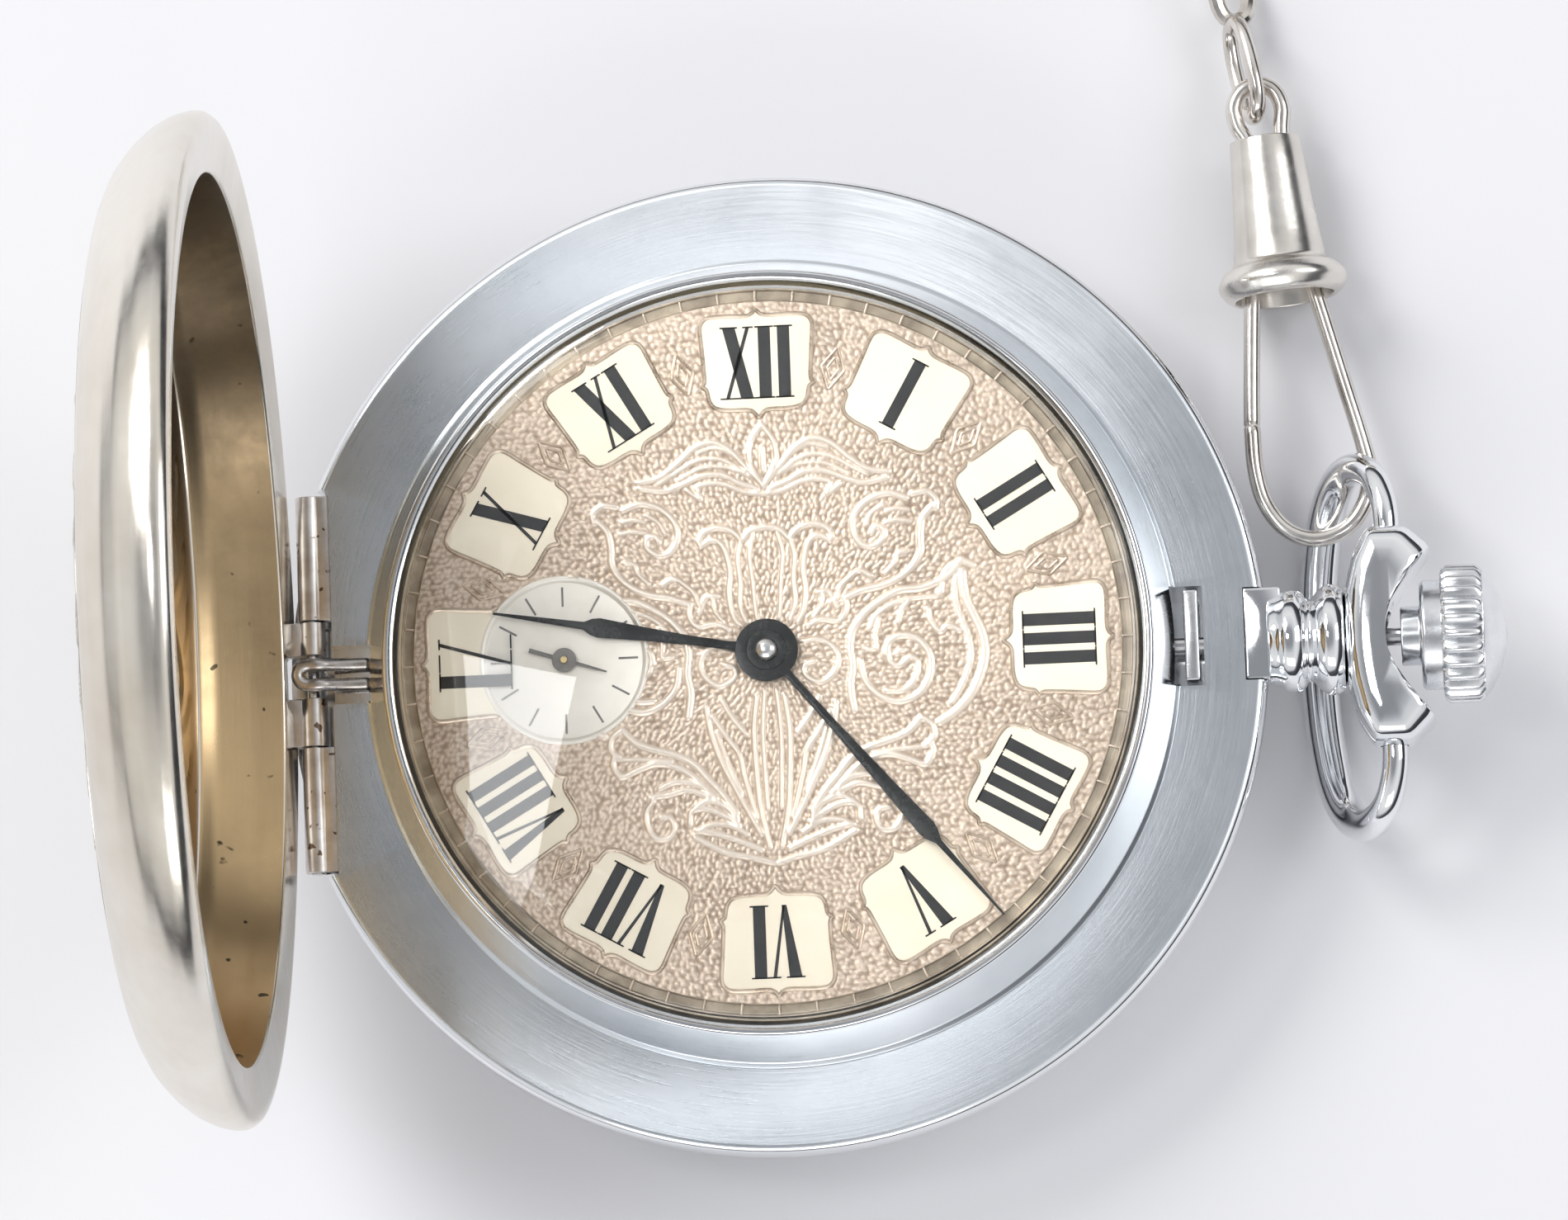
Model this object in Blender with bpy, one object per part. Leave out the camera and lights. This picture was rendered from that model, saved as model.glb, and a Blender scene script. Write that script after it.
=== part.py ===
"""Hunter-case pocket watch with its clasp and chain, lid open.

Object frame, in millimetres while building (converted to metres per vertex):
  X  from the case centre towards the crown (3 o'clock)
  Y  towards 12 o'clock
  Z  out of the dial; the flat of the case back lies on Z = 0
"""
import math

import bmesh
import bpy
from mathutils import Matrix, Vector
from mathutils.geometry import tessellate_polygon

MM = 0.001
CASE_STEPS = 30        # facets round the nested case rings, the same on each so that they stay clear
LID_STEPS = 32
MOVEMENT_STEPS = 26

# ---- case -------------------------------------------------------------------
RIM_Z = 8.5            # flat brushed rim
RIM_R = 24.75          # outer edge of the flat rim
BODY_R = 25.2          # widest part of the case, just under the rim
CASE_BORE_R = 18.3     # bore of the case middle
BACK_JOINT_Z = 4.7     # where the snap-on back meets the case middle
BACK_FLAT_R = 14.0
CHORD_X = 22.5         # straight cut in the rim for the hinge
CHORD_HALF = 9.95
CHORD_FLOOR_Z = 5.9

# ---- hinge and lid ----------------------------------------------------------
HINGE_X = 23.6
HINGE_Z = RIM_Z - 0.9
KNUCKLE_R = 0.68
PIN_R = 0.3
LID_KNUCKLE_HALF = 3.2
HINGE_HALF = 9.7
LID_OPEN = math.radians(90.5)
LID_SEAT = 0.03        # clearance between closed lid and rim
SPRING_Y = 0.38        # middle of the hairpin lid spring

# ---- bezel, crystal, dial ---------------------------------------------------
BEZEL_BASE_R = 20.8
BEZEL_TOP_R = 19.57
BEZEL_TOP_Z = RIM_Z + 4.25
DIAL_Z = RIM_Z + 4.0
DIAL_R = 18.66
TRACK_IN_R = 17.95
TRACK_OUT_R = 18.52
SUB_X = -10.3
SUB_R = 4.15

# ---- pendant, bow, crown ----------------------------------------------------
STEM_Z = 7.7
CATCH_Y = 0.4
BOW_PIVOT_X = 31.4
BOW_HALF_WIDTH = 9.15
BOW_REST_Z = 0.98
CROWN_R = 3.52
CROWN_FLUTES = 26

# ---- movement ---------------------------------------------------------------
PLATE_BOTTOM_Z = 9.8
PLATE_TOP_Z = 11.0
BRIDGE_Z = (5.9, 6.9)
MOVEMENT_R = 17.45
BARREL_XY = (4.39, 7.04)
CROWN_WHEEL_XY = (11.0, 0.0)
THIRD_XY = (-5.5, -2.81)
FOURTH_XY = (SUB_X, 0.0)
ESCAPE_XY = (-13.36, -3.65)
PALLET_XY = (-11.13, -6.08)
BALANCE_XY = (-6.6, -11.0)
COCK_FOOT_XY = (2.2, -14.0)
PALLET_FOOT_XY = (-14.2, -8.3)
MINUTE_XY = (4.35, -3.35)
CLICK_XY = (12.3, 8.6)

# ---- clasp and chain --------------------------------------------------------
CLASP_Z = 3.36
CLASP_WIRE_R = 0.43
CHAIN_D = 3.0
CHAIN_LENGTH = 300.0
COIL_XY = (22.0, 59.5)
COIL_R = 16.0
CLASP_PIVOT = (28.95, 8.6, 3.36)

PARTS = "pocket_watch"
CUTTERS = "cutters"


# ---- scene and materials ----------------------------------------------------

def clear_scene():
    for item in list(bpy.data.objects):
        bpy.data.objects.remove(item, do_unlink=True)


def make_collection(name):
    group = bpy.data.collections.new(name)
    bpy.context.scene.collection.children.link(group)
    return group


def material(name, color, metallic, roughness):
    mat = bpy.data.materials.new(name)
    mat.use_nodes = True
    shader = mat.node_tree.nodes["Principled BSDF"]
    shader.inputs["Base Color"].default_value = (color[0], color[1], color[2], 1.0)
    shader.inputs["Metallic"].default_value = metallic
    shader.inputs["Roughness"].default_value = roughness
    mat.diffuse_color = (color[0], color[1], color[2], 1.0)
    mat.metallic = metallic
    mat.roughness = roughness
    return mat


METALS = {
    "chrome": ((0.78, 0.79, 0.80), 1.0, 0.12),
    "brushed": ((0.62, 0.64, 0.66), 1.0, 0.35),
    "nickel": ((0.70, 0.66, 0.60), 1.0, 0.25),
    "tan": ((0.60, 0.47, 0.30), 1.0, 0.40),
    "steel": ((0.55, 0.56, 0.58), 1.0, 0.25),
    "brass": ((0.78, 0.60, 0.28), 1.0, 0.30),
    "gilt": ((0.82, 0.66, 0.36), 1.0, 0.35),
    "black": ((0.02, 0.02, 0.02), 0.0, 0.35),
    "dial": ((0.72, 0.64, 0.56), 1.0, 0.45),
    "glass": ((0.90, 0.93, 0.95), 0.0, 0.05),
}


# ---- mesh builders ----------------------------------------------------------

def finish_mesh(name, bm, kind, smooth, group):
    """Turn a bmesh in millimetres into a named object in metres."""
    bmesh.ops.remove_doubles(bm, verts=bm.verts, dist=1e-5)
    bmesh.ops.recalc_face_normals(bm, faces=bm.faces)
    bmesh.ops.scale(bm, vec=(MM, MM, MM), verts=bm.verts)
    mesh = bpy.data.meshes.new(name)
    bm.to_mesh(mesh)
    bm.free()
    obj = bpy.data.objects.new(name, mesh)
    group.objects.link(obj)
    if kind is not None:
        color, metallic, roughness = METALS[kind]
        mesh.materials.append(material(name, color, metallic, roughness))
    for poly in mesh.polygons:
        poly.use_smooth = smooth
    if smooth:
        mesh.set_sharp_from_angle(angle=math.radians(35.0))
    return obj


def ring_of(radius, count, phase=0.0):
    step = 2.0 * math.pi / count
    return [(radius * math.cos(phase + i * step), radius * math.sin(phase + i * step)) for i in range(count)]


def skin(bm, rings, closed_path=False):
    """Quads between rings of equal length, capped at both ends unless the path closes."""
    rows = [[bm.verts.new(point) for point in ring] for ring in rings]
    count = len(rows[0])
    last = len(rows) if closed_path else len(rows) - 1
    for i in range(last):
        low, high = rows[i], rows[(i + 1) % len(rows)]
        for j in range(count):
            k = (j + 1) % count
            bm.faces.new((low[j], low[k], high[k], high[j]))
    if not closed_path:
        bm.faces.new(list(reversed(rows[0])))
        bm.faces.new(rows[-1])


def placed(points, origin=(0.0, 0.0, 0.0), axis="Z"):
    """Points given about +Z, turned so that +Z runs along the named axis, then moved."""
    turn = {"Z": Matrix.Identity(3), "X": Matrix(((0, 0, 1), (1, 0, 0), (0, 1, 0))),
            "Y": Matrix(((0, 1, 0), (0, 0, 1), (1, 0, 0)))}[axis]
    return [turn @ Vector(p) + Vector(origin) for p in points]


def lathe(name, profile, kind, group, steps=64, origin=(0.0, 0.0, 0.0), axis="Z", smooth=True,
          phase=0.5):
    """Turn a closed (r, z) profile; points with r = 0 lie on the axis."""
    bm = bmesh.new()
    columns = []
    for i in range(steps):
        angle = 2.0 * math.pi * (i + phase) / steps
        c, s = math.cos(angle), math.sin(angle)
        points = placed([(r * c, r * s, z) for r, z in profile], origin, axis)
        columns.append([bm.verts.new(p) for p in points])
    count = len(profile)
    for i in range(steps):
        here, there = columns[i], columns[(i + 1) % steps]
        for j in range(count):
            k = (j + 1) % count
            on_j, on_k = profile[j][0] == 0.0, profile[k][0] == 0.0
            if on_j and on_k:
                continue
            if on_j:
                bm.faces.new((here[j], here[k], there[k]))
            elif on_k:
                bm.faces.new((here[j], here[k], there[j]))
            else:
                bm.faces.new((here[j], here[k], there[k], there[j]))
    return finish_mesh(name, bm, kind, smooth, group)


def prism(name, outline, z0, z1, kind, group, axis="Z", origin=(0.0, 0.0, 0.0), smooth=False):
    """Straight extrusion of a flat outline."""
    bm = bmesh.new()
    low = placed([(x, y, z0) for x, y in outline], origin, axis)
    high = placed([(x, y, z1) for x, y in outline], origin, axis)
    skin(bm, [low, high])
    return finish_mesh(name, bm, kind, smooth, group)


def box(name, lo, hi, kind, group):
    outline = [(lo[0], lo[1]), (hi[0], lo[1]), (hi[0], hi[1]), (lo[0], hi[1])]
    return prism(name, outline, lo[2], hi[2], kind, group)


def rod(name, radius, z0, z1, kind, group, xy=(0.0, 0.0), steps=16, axis="Z", at=None):
    origin = at if at is not None else (xy[0], xy[1], 0.0)
    return prism(name, ring_of(radius, steps), z0, z1, kind, group, axis=axis, origin=origin, smooth=True)


def sweep(name, path, radii, kind, group, sides=12, closed=False):
    """Round wire along a path, carried by a frame that does not twist."""
    points = [Vector(p) for p in path]
    count = len(points)
    bm = bmesh.new()
    tangents = []
    for i in range(count):
        before = points[i - 1] if (i > 0 or closed) else points[i]
        after = points[(i + 1) % count] if (i < count - 1 or closed) else points[i]
        tangents.append((after - before).normalized())
    side = tangents[0].orthogonal().normalized()
    rings = []
    for i in range(count):
        side = (side - tangents[i] * side.dot(tangents[i])).normalized()
        other = tangents[i].cross(side)
        radius = radii[i] if isinstance(radii, (list, tuple)) else radii
        rings.append([points[i] + side * (radius * math.cos(a)) + other * (radius * math.sin(a))
                      for a in [2.0 * math.pi * j / sides for j in range(sides)]])
    skin(bm, rings, closed_path=closed)
    return finish_mesh(name, bm, kind, True, group)


def smooth_path(knots, per_span):
    """Catmull-Rom points through the knots."""
    knots = [Vector(k) for k in knots]
    out = []
    for i in range(len(knots) - 1):
        p0 = knots[i - 1] if i > 0 else 2.0 * knots[0] - knots[1]
        p1, p2 = knots[i], knots[i + 1]
        p3 = knots[i + 2] if i + 2 < len(knots) else 2.0 * knots[-1] - knots[-2]
        for j in range(per_span):
            t = j / per_span
            out.append(0.5 * ((2.0 * p1) + (p2 - p0) * t + (2.0 * p0 - 5.0 * p1 + 4.0 * p2 - p3) * t * t
                              + (3.0 * p1 - p0 - 3.0 * p2 + p3) * t * t * t))
    out.append(knots[-1])
    return out


def tooth_outline(teeth, tip_r, root_r):
    """Pointed teeth: one point on the tip circle and one on the root circle for each."""
    pitch = 2.0 * math.pi / teeth
    outline = []
    for i in range(teeth):
        for offset, radius in ((0.0, tip_r), (0.5, root_r)):
            angle = (i + offset) * pitch
            outline.append((radius * math.cos(angle), radius * math.sin(angle)))
    return outline


def arc(radius, start_deg, end_deg, count, centre=(0.0, 0.0)):
    out = []
    for i in range(count + 1):
        a = math.radians(start_deg + (end_deg - start_deg) * i / count)
        out.append((centre[0] + radius * math.cos(a), centre[1] + radius * math.sin(a)))
    return out


def capsule(a, ra, b, rb, count=10):
    """Outline round two circles of nearly equal size."""
    heading = math.degrees(math.atan2(b[1] - a[1], b[0] - a[0]))
    return arc(rb, heading - 90.0, heading + 90.0, count, b) + arc(ra, heading + 90.0, heading + 270.0,
                                                                   count, a)


# ---- Booleans ---------------------------------------------------------------

def combine(target, tool, operation):
    tool.hide_render = True
    tool.display_type = "WIRE"
    mod = target.modifiers.new(operation.lower() + "_" + tool.name, "BOOLEAN")
    mod.operation = operation
    mod.solver = "EXACT"
    mod.object = tool


def cut(target, *tools):
    for tool in tools:
        combine(target, tool, "DIFFERENCE")


def fuse(target, *tools):
    for tool in tools:
        combine(target, tool, "UNION")


# ---- case -------------------------------------------------------------------

def build_case(group, tools):
    middle = lathe("case_middle", [
        (CASE_BORE_R, RIM_Z), (RIM_R, RIM_Z), (24.98, RIM_Z - 0.12), (25.14, RIM_Z - 0.42),
        (BODY_R, RIM_Z - 0.9),
        (25.0, RIM_Z - 2.3), (24.55, BACK_JOINT_Z), (23.55, BACK_JOINT_Z),
        (23.55, BACK_JOINT_Z + 0.9), (CASE_BORE_R, BACK_JOINT_Z + 0.9)], "brushed", group, steps=CASE_STEPS)
    cut(middle, box("cut_hinge_seat", (-27.0, -CHORD_HALF, CHORD_FLOOR_Z), (-CHORD_X, CHORD_HALF, 10.0),
                    None, tools))
    cut(middle, box("cut_spring_slot", (-23.0, -1.15, 7.75), (-20.0, 1.85, 10.0), None, tools))
    cut(middle, box("cut_catch_slot", (20.25, CATCH_Y - 2.55, 6.0), (21.95, CATCH_Y + 2.55, 10.0), None,
                    tools))
    cut(middle, box("cut_tab_seat", (24.0, CATCH_Y - 2.38, 7.1), (27.0, CATCH_Y + 2.38, 10.0), None, tools))
    cut(middle, rod("cut_stem_bore", 0.62, 17.0, 24.0, None, tools, axis="X", at=(0.0, 0.0, STEM_Z),
                    steps=16))

    lathe("case_back", [
        (0.0, 0.0), (BACK_FLAT_R, 0.0), (18.2, 0.35), (21.6, 1.5), (23.7, 3.0), (24.55, BACK_JOINT_Z - 0.03),
        (23.5, BACK_JOINT_Z - 0.03), (23.5, BACK_JOINT_Z + 0.7), (22.9, BACK_JOINT_Z + 0.7), (22.9, 3.7),
        (20.9, 2.15), (18.0, 1.1), (BACK_FLAT_R, 0.75), (0.0, 0.75)], "chrome", group, steps=CASE_STEPS)

    bezel = lathe("bezel", [
        (BEZEL_TOP_R - 0.12, BEZEL_TOP_Z), (BEZEL_TOP_R, BEZEL_TOP_Z - 0.12), (20.55, RIM_Z + 0.55),
        (BEZEL_BASE_R, RIM_Z + 0.2),
        (BEZEL_BASE_R, RIM_Z + 0.02), (19.75, RIM_Z + 0.02), (19.75, RIM_Z + 2.0), (18.78, RIM_Z + 3.3),
        (18.78, RIM_Z + 4.02), (19.22, RIM_Z + 4.02), (19.22, BEZEL_TOP_Z)], "chrome", group,
        steps=CASE_STEPS)
    cut(bezel, box("cut_bezel_catch", (20.2, CATCH_Y - 2.5, 8.0), (22.0, CATCH_Y + 2.5, 9.25), None, tools))
    cut(bezel, box("cut_bezel_spring", (-22.0, -1.1, 8.0), (-20.15, 1.8, 9.1), None, tools))

    dome = [(19.18, 12.55), (19.18, 12.84), (18.86, 13.2)]
    inner = []
    for r in (18.0, 10.0):
        dome.append((r, 14.2 - 0.83 * (r / 19.18) ** 2))
        inner.append((r, 13.9 - 0.83 * (r / 19.18) ** 2))
    profile = dome + [(0.0, 14.2), (0.0, 13.9)] + list(reversed(inner)) + [(18.62, 12.95), (18.62, 12.55)]
    lathe("crystal", profile, "glass", group, steps=CASE_STEPS)


def build_hinge(group, tools):
    """Two case knuckles and the pin; the lid carries the middle knuckle."""
    at = (-HINGE_X, 0.0, HINGE_Z)
    for name, y0, y1 in (("hinge_knuckle_upper", LID_KNUCKLE_HALF + 0.05, HINGE_HALF),
                         ("hinge_knuckle_lower", -HINGE_HALF, -LID_KNUCKLE_HALF - 0.05)):
        knuckle = rod(name, KNUCKLE_R, y0, y1, "nickel", group, axis="Y", at=at, steps=20)
        fuse(knuckle, box(name + "_leaf", (-HINGE_X, y0, HINGE_Z - 0.45),
                          (-CHORD_X - 0.03, y1, HINGE_Z + 0.5), None, tools))
        cut(knuckle, rod(name + "_bore", PIN_R + 0.03, -HINGE_HALF - 1.0, HINGE_HALF + 1.0, None, tools,
                         axis="Y", at=at))
    rod("hinge_pin", PIN_R, -HINGE_HALF - 0.05, HINGE_HALF + 0.05, "steel", group, axis="Y", at=at, steps=12)

    wire = 0.34
    top = HINGE_Z + KNUCKLE_R + wire + 0.08
    leg = 0.51
    y = SPRING_Y
    knots = [(-20.75, y + leg, 8.17), (-21.6, y + leg, 8.22), (-22.4, y + leg, 8.42), (-23.1, y + leg, top),
             (-23.75, y + leg, top), (-24.12, y + 0.7 * leg, top), (-24.28, y, top),
             (-24.12, y - 0.7 * leg, top),
             (-23.75, y - leg, top), (-23.1, y - leg, top), (-22.4, y - leg, 8.42), (-21.6, y - leg, 8.22),
             (-20.75, y - leg, 8.17)]
    sweep("lid_spring_wire", smooth_path(knots, 2), wire, "steel", group, sides=8)


def lid_pose():
    """Turn from the closed position to the open position about the hinge axis."""
    pivot = Vector((-HINGE_X * MM, 0.0, HINGE_Z * MM))
    return Matrix.Translation(pivot) @ Matrix.Rotation(-LID_OPEN, 4, "Y") @ Matrix.Translation(-pivot)


def build_lid(group, tools):
    """Built closed, then turned open about the hinge."""
    base = RIM_Z
    at = (-HINGE_X, 0.0, HINGE_Z)
    notch = rod("cut_lid_spring", 2.05, SPRING_Y - 1.05, SPRING_Y + 1.05, None, tools, axis="Y", at=at,
                steps=24)
    made = [notch]
    lid_ring = lathe("lid_ring", [
        (22.0, base + 0.38), (24.2, base + LID_SEAT), (24.75, base + 0.14), (25.05, base + 0.55),
        (25.08, base + 1.0),
        (24.9, base + 1.8), (24.45, base + 2.7), (23.7, base + 3.6), (22.75, base + 4.4), (21.7, base + 4.93),
        (20.95, base + 5.14), (20.95, base + 4.64), (21.35, base + 3.9), (21.75, base + 2.0),
        (21.95, base + 0.7)],
        "nickel", group, steps=LID_STEPS, phase=0.0)
    cut(lid_ring, notch)
    made.append(lid_ring)

    outer, inner = [], []
    for r in (16.0, 8.0):
        outer.append((r, base + 6.25 - 1.1 * (r / 20.85) ** 2))
        inner.append((r, base + 5.85 - 1.1 * (r / 20.85) ** 2))
    profile = ([(20.91, base + 4.74), (20.91, base + 5.13)] + outer + [(0.0, base + 6.25), (0.0, base + 5.85)]
               + list(reversed(inner)))
    made.append(lathe("lid_panel", profile, "tan", group, steps=LID_STEPS, phase=0.0))

    half = LID_KNUCKLE_HALF
    knuckle = rod("lid_knuckle", KNUCKLE_R, -half, half, "nickel", group, axis="Y", at=at, steps=20)
    leaves = []
    for label, y0, y1 in (("a", -half, SPRING_Y - 1.05), ("b", SPRING_Y + 1.05, half)):
        leaves.append(box("lid_knuckle_leaf_" + label, (-HINGE_X - 0.45, y0, HINGE_Z),
                          (-HINGE_X + 0.5, y1, RIM_Z + 0.01), None, tools))
    fuse(knuckle, *leaves)
    bore = rod("lid_knuckle_bore", PIN_R + 0.03, -half - 1.0, half + 1.0, None, tools, axis="Y", at=at)
    cut(knuckle, bore)
    made += [knuckle, bore] + leaves

    turn = lid_pose()
    for obj in made:
        obj.data.transform(turn)


def build_catch(group, tools):
    tongue = box("lid_catch", (20.98, CATCH_Y - 2.3, 6.06), (21.7, CATCH_Y + 2.3, 8.98), "brushed", group)
    cut(tongue, rod("cut_catch_stem", 0.66, 20.0, 23.0, None, tools, axis="X", at=(0.0, 0.0, STEM_Z),
                    steps=16))


# ---- pendant, bow, crown ----------------------------------------------------

def build_pendant(group, tools):
    at = (0.0, 0.0, STEM_Z)
    neck = lathe("pendant_neck", [
        (0.62, 25.0), (2.15, 25.0), (2.35, 25.72), (2.62, 26.1), (2.66, 26.6), (2.45, 27.0), (2.08, 27.2),
        (2.08, 27.42), (2.5, 27.75), (2.82, 28.2), (2.82, 28.7), (2.55, 29.1), (0.62, 29.1)],
        "chrome", group, steps=24, origin=at, axis="X")
    cut(neck, box("cut_neck_case", (24.0, -4.0, 0.0), (25.24, 4.0, 12.0), None, tools))
    fuse(neck, box("neck_tab", (24.03, CATCH_Y - 2.33, 7.15), (25.6, CATCH_Y + 2.33, RIM_Z), None, tools))
    cut(neck, rod("cut_neck_stem", 0.62, 23.0, 30.0, None, tools, axis="X", at=at, steps=16))

    half = [(29.15, 2.5), (30.4, 5.6), (32.4, 5.6), (33.7, 4.4), (31.1, 0.9)]
    outline = [(x, -y) for x, y in half] + [(x, y) for x, y in reversed(half)]
    bm = bmesh.new()
    rings = []
    for z, inset in ((-2.45, 0.82), (-1.75, 0.93), (-0.9, 1.0), (0.9, 1.0), (1.75, 0.93), (2.45, 0.82)):
        ring = []
        for x, y in outline:
            ring.append((31.2 + (x - 31.2) * (1.0 - (1.0 - inset) * 0.9), y * (1.0 - (1.0 - inset) * 0.45),
                         STEM_Z + z))
        rings.append(ring)
    skin(bm, rings)
    yoke = finish_mesh("pendant_yoke", bm, "chrome", False, group)
    cut(yoke, rod("cut_yoke_bore", 1.8, 28.0, 35.0, None, tools, axis="X", at=at, steps=24))
    pivot = (BOW_PIVOT_X, 0.0, STEM_Z)
    cut(yoke, rod("cut_yoke_pivot_upper", 0.72, 3.6, 7.0, None, tools, axis="Y", at=pivot, steps=16))
    cut(yoke, rod("cut_yoke_pivot_lower", 0.72, -7.0, -3.6, None, tools, axis="Y", at=pivot, steps=16))


def bow_path():
    """Centre line of the bow: from one pivot pin round to the other."""
    down = Vector((-3.8, 0.0, BOW_REST_Z - STEM_Z))
    reach = down.length
    down.normalize()
    half = [(0.0, 3.75), (0.0, 5.0), (0.0, 6.3), (0.35, 7.4), (1.1, 8.4), (2.3, 9.0), (3.6, BOW_HALF_WIDTH),
            (5.0, 8.6),
            (6.2, 7.2), (7.0, 5.3), (7.5, 3.0), (reach, 0.0)]
    full = half + [(u, -v) for u, v in reversed(half[:-1])]
    knots = [Vector((BOW_PIVOT_X, v, STEM_Z)) + down * u for u, v in full]
    return smooth_path(knots, 2)


def build_bow(group):
    path = bow_path()
    pivot = Vector((BOW_PIVOT_X, 0.0, STEM_Z))
    radii = []
    for p in path:
        off = Vector((p.x - pivot.x, 0.0, p.z - pivot.z)).length
        radii.append(0.66 + 0.29 * min(1.0, off / 6.0))
    sweep("bow", path, radii, "chrome", group, sides=8)


def build_crown(group, tools):
    at = (0.0, 0.0, STEM_Z)
    crown = lathe("crown", [
        (0.0, 31.95), (1.5, 31.95), (1.5, 32.95), (2.62, 32.95), (2.8, 33.12), (2.8, 34.3), (3.1, 34.3),
        (3.3, 36.15),
        (2.9, 36.45), (2.0, 36.95), (1.0, 37.25), (0.0, 37.35)], "chrome", group,
        steps=26, origin=at, axis="X")
    outline = tooth_outline(CROWN_FLUTES, CROWN_R, CROWN_R - 0.3)
    bm = bmesh.new()
    rings = []
    for x, scale in ((34.05, 0.9), (34.3, 1.0), (35.9, 1.0), (36.15, 0.9)):
        rings.append(placed([(a * scale, b * scale, x) for a, b in outline], at, "X"))
    skin(bm, rings)
    drum = finish_mesh("crown_flutes", bm, None, False, tools)
    fuse(crown, drum)
    cut(crown, rod("cut_crown_bore", 0.56, 31.0, 34.9, None, tools, axis="X", at=at, steps=16))


def build_stem(group, tools):
    at = (0.0, 0.0, STEM_Z)
    lathe("winding_stem", [
        (0.0, 9.6), (0.3, 9.6), (0.3, 10.9), (0.45, 11.0), (0.45, 16.7), (0.26, 16.75), (0.26, 17.1),
        (0.45, 17.15),
        (0.45, 33.9), (0.0, 33.9)], "steel", group, steps=16, origin=at, axis="X")
    lever = prism("setting_lever", capsule((16.93, 0.0), 0.32, (15.9, -3.4), 0.45, 6), 9.2, 9.5, "steel",
                  group)
    fuse(lever, box("setting_lever_finger", (16.8, -0.2, 8.02), (17.05, 0.2, 9.3), None, tools))
    for name, teeth, tip, root, x0, x1 in (("winding_pinion", 14, 1.4, 1.05, 14.95, 16.3),
                                           ("clutch_pinion", 12, 1.15, 0.85, 12.5, 14.6)):
        bm = bmesh.new()
        outline = tooth_outline(teeth, tip, root)
        inner = []
        for i in range(len(outline)):
            angle = math.atan2(outline[i][1], outline[i][0])
            inner.append((0.48 * math.cos(angle), 0.48 * math.sin(angle)))
        rings = [placed([(a, b, x0) for a, b in inner], at, "X"),
                 placed([(a, b, x0) for a, b in outline], at, "X"),
                 placed([(a, b, x1) for a, b in outline], at, "X"), placed([(a, b, x1) for a, b in inner],
                         at, "X")]
        skin(bm, rings, closed_path=True)
        finish_mesh(name, bm, "steel", False, group)


# ---- dial and hands ---------------------------------------------------------

def build_dial(group, tools):
    dial = lathe("dial", [
        (0.62, DIAL_Z - 0.5), (DIAL_R, DIAL_Z - 0.5), (DIAL_R, DIAL_Z), (TRACK_OUT_R, DIAL_Z),
        (TRACK_OUT_R, DIAL_Z - 0.18),
        (TRACK_IN_R, DIAL_Z - 0.18), (TRACK_IN_R, DIAL_Z - 0.02), (0.62, DIAL_Z - 0.02)], "dial", group,
        steps=MOVEMENT_STEPS)
    cut(dial, rod("cut_sub_dial", SUB_R, DIAL_Z - 0.2, DIAL_Z + 1.0, None, tools, xy=(SUB_X, 0.0), steps=40))
    cut(dial, rod("cut_sub_bore", 0.22, DIAL_Z - 1.0, DIAL_Z + 1.0, None, tools, xy=(SUB_X, 0.0), steps=10))


def build_hand(name, group, z, thick, length, hub_r, neck, wide_at, wide, tip, angle, bore_r, xy=(0.0, 0.0),
               tail=0.0):
    """Flat hand with a bored hub; the bore is drawn as an inner loop joined to the outline."""
    upper = [(wide_at * 0.55, neck * 1.15), (wide_at, wide), (wide_at * 1.1, tip * 1.7), (length, tip)]
    start = math.degrees(math.asin(neck / hub_r))
    if tail:
        back = [(-tail, neck * 1.3), (-tail, -neck * 1.3)]
        round_hub = arc(hub_r, start, 180.0 - start, 7) + back + arc(hub_r, 180.0 + start, 360.0 - start, 7)
    else:
        round_hub = arc(hub_r, start, 360.0 - start, 16)
    outline = round_hub + [(x, -y) for x, y in upper] + list(reversed(upper))
    hole = ring_of(bore_r, 12)
    loops = [[Vector((x, y, 0.0)) for x, y in outline], [Vector((x, y, 0.0)) for x, y in hole]]
    flat = outline + hole
    triangles = tessellate_polygon(loops)
    turn = Matrix.Rotation(angle, 3, "Z")
    bm = bmesh.new()
    low = [bm.verts.new(turn @ Vector((x, y, 0.0)) + Vector((xy[0], xy[1], z))) for x, y in flat]
    high = [bm.verts.new(turn @ Vector((x, y, 0.0)) + Vector((xy[0], xy[1], z + thick))) for x, y in flat]
    for a, b, c in triangles:
        bm.faces.new((low[a], low[b], low[c]))
        bm.faces.new((high[c], high[b], high[a]))
    for first, count in ((0, len(outline)), (len(outline), len(hole))):
        for i in range(count):
            a, b = first + i, first + (i + 1) % count
            bm.faces.new((low[a], low[b], high[b], high[a]))
    return finish_mesh(name, bm, "black", False, group)


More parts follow.
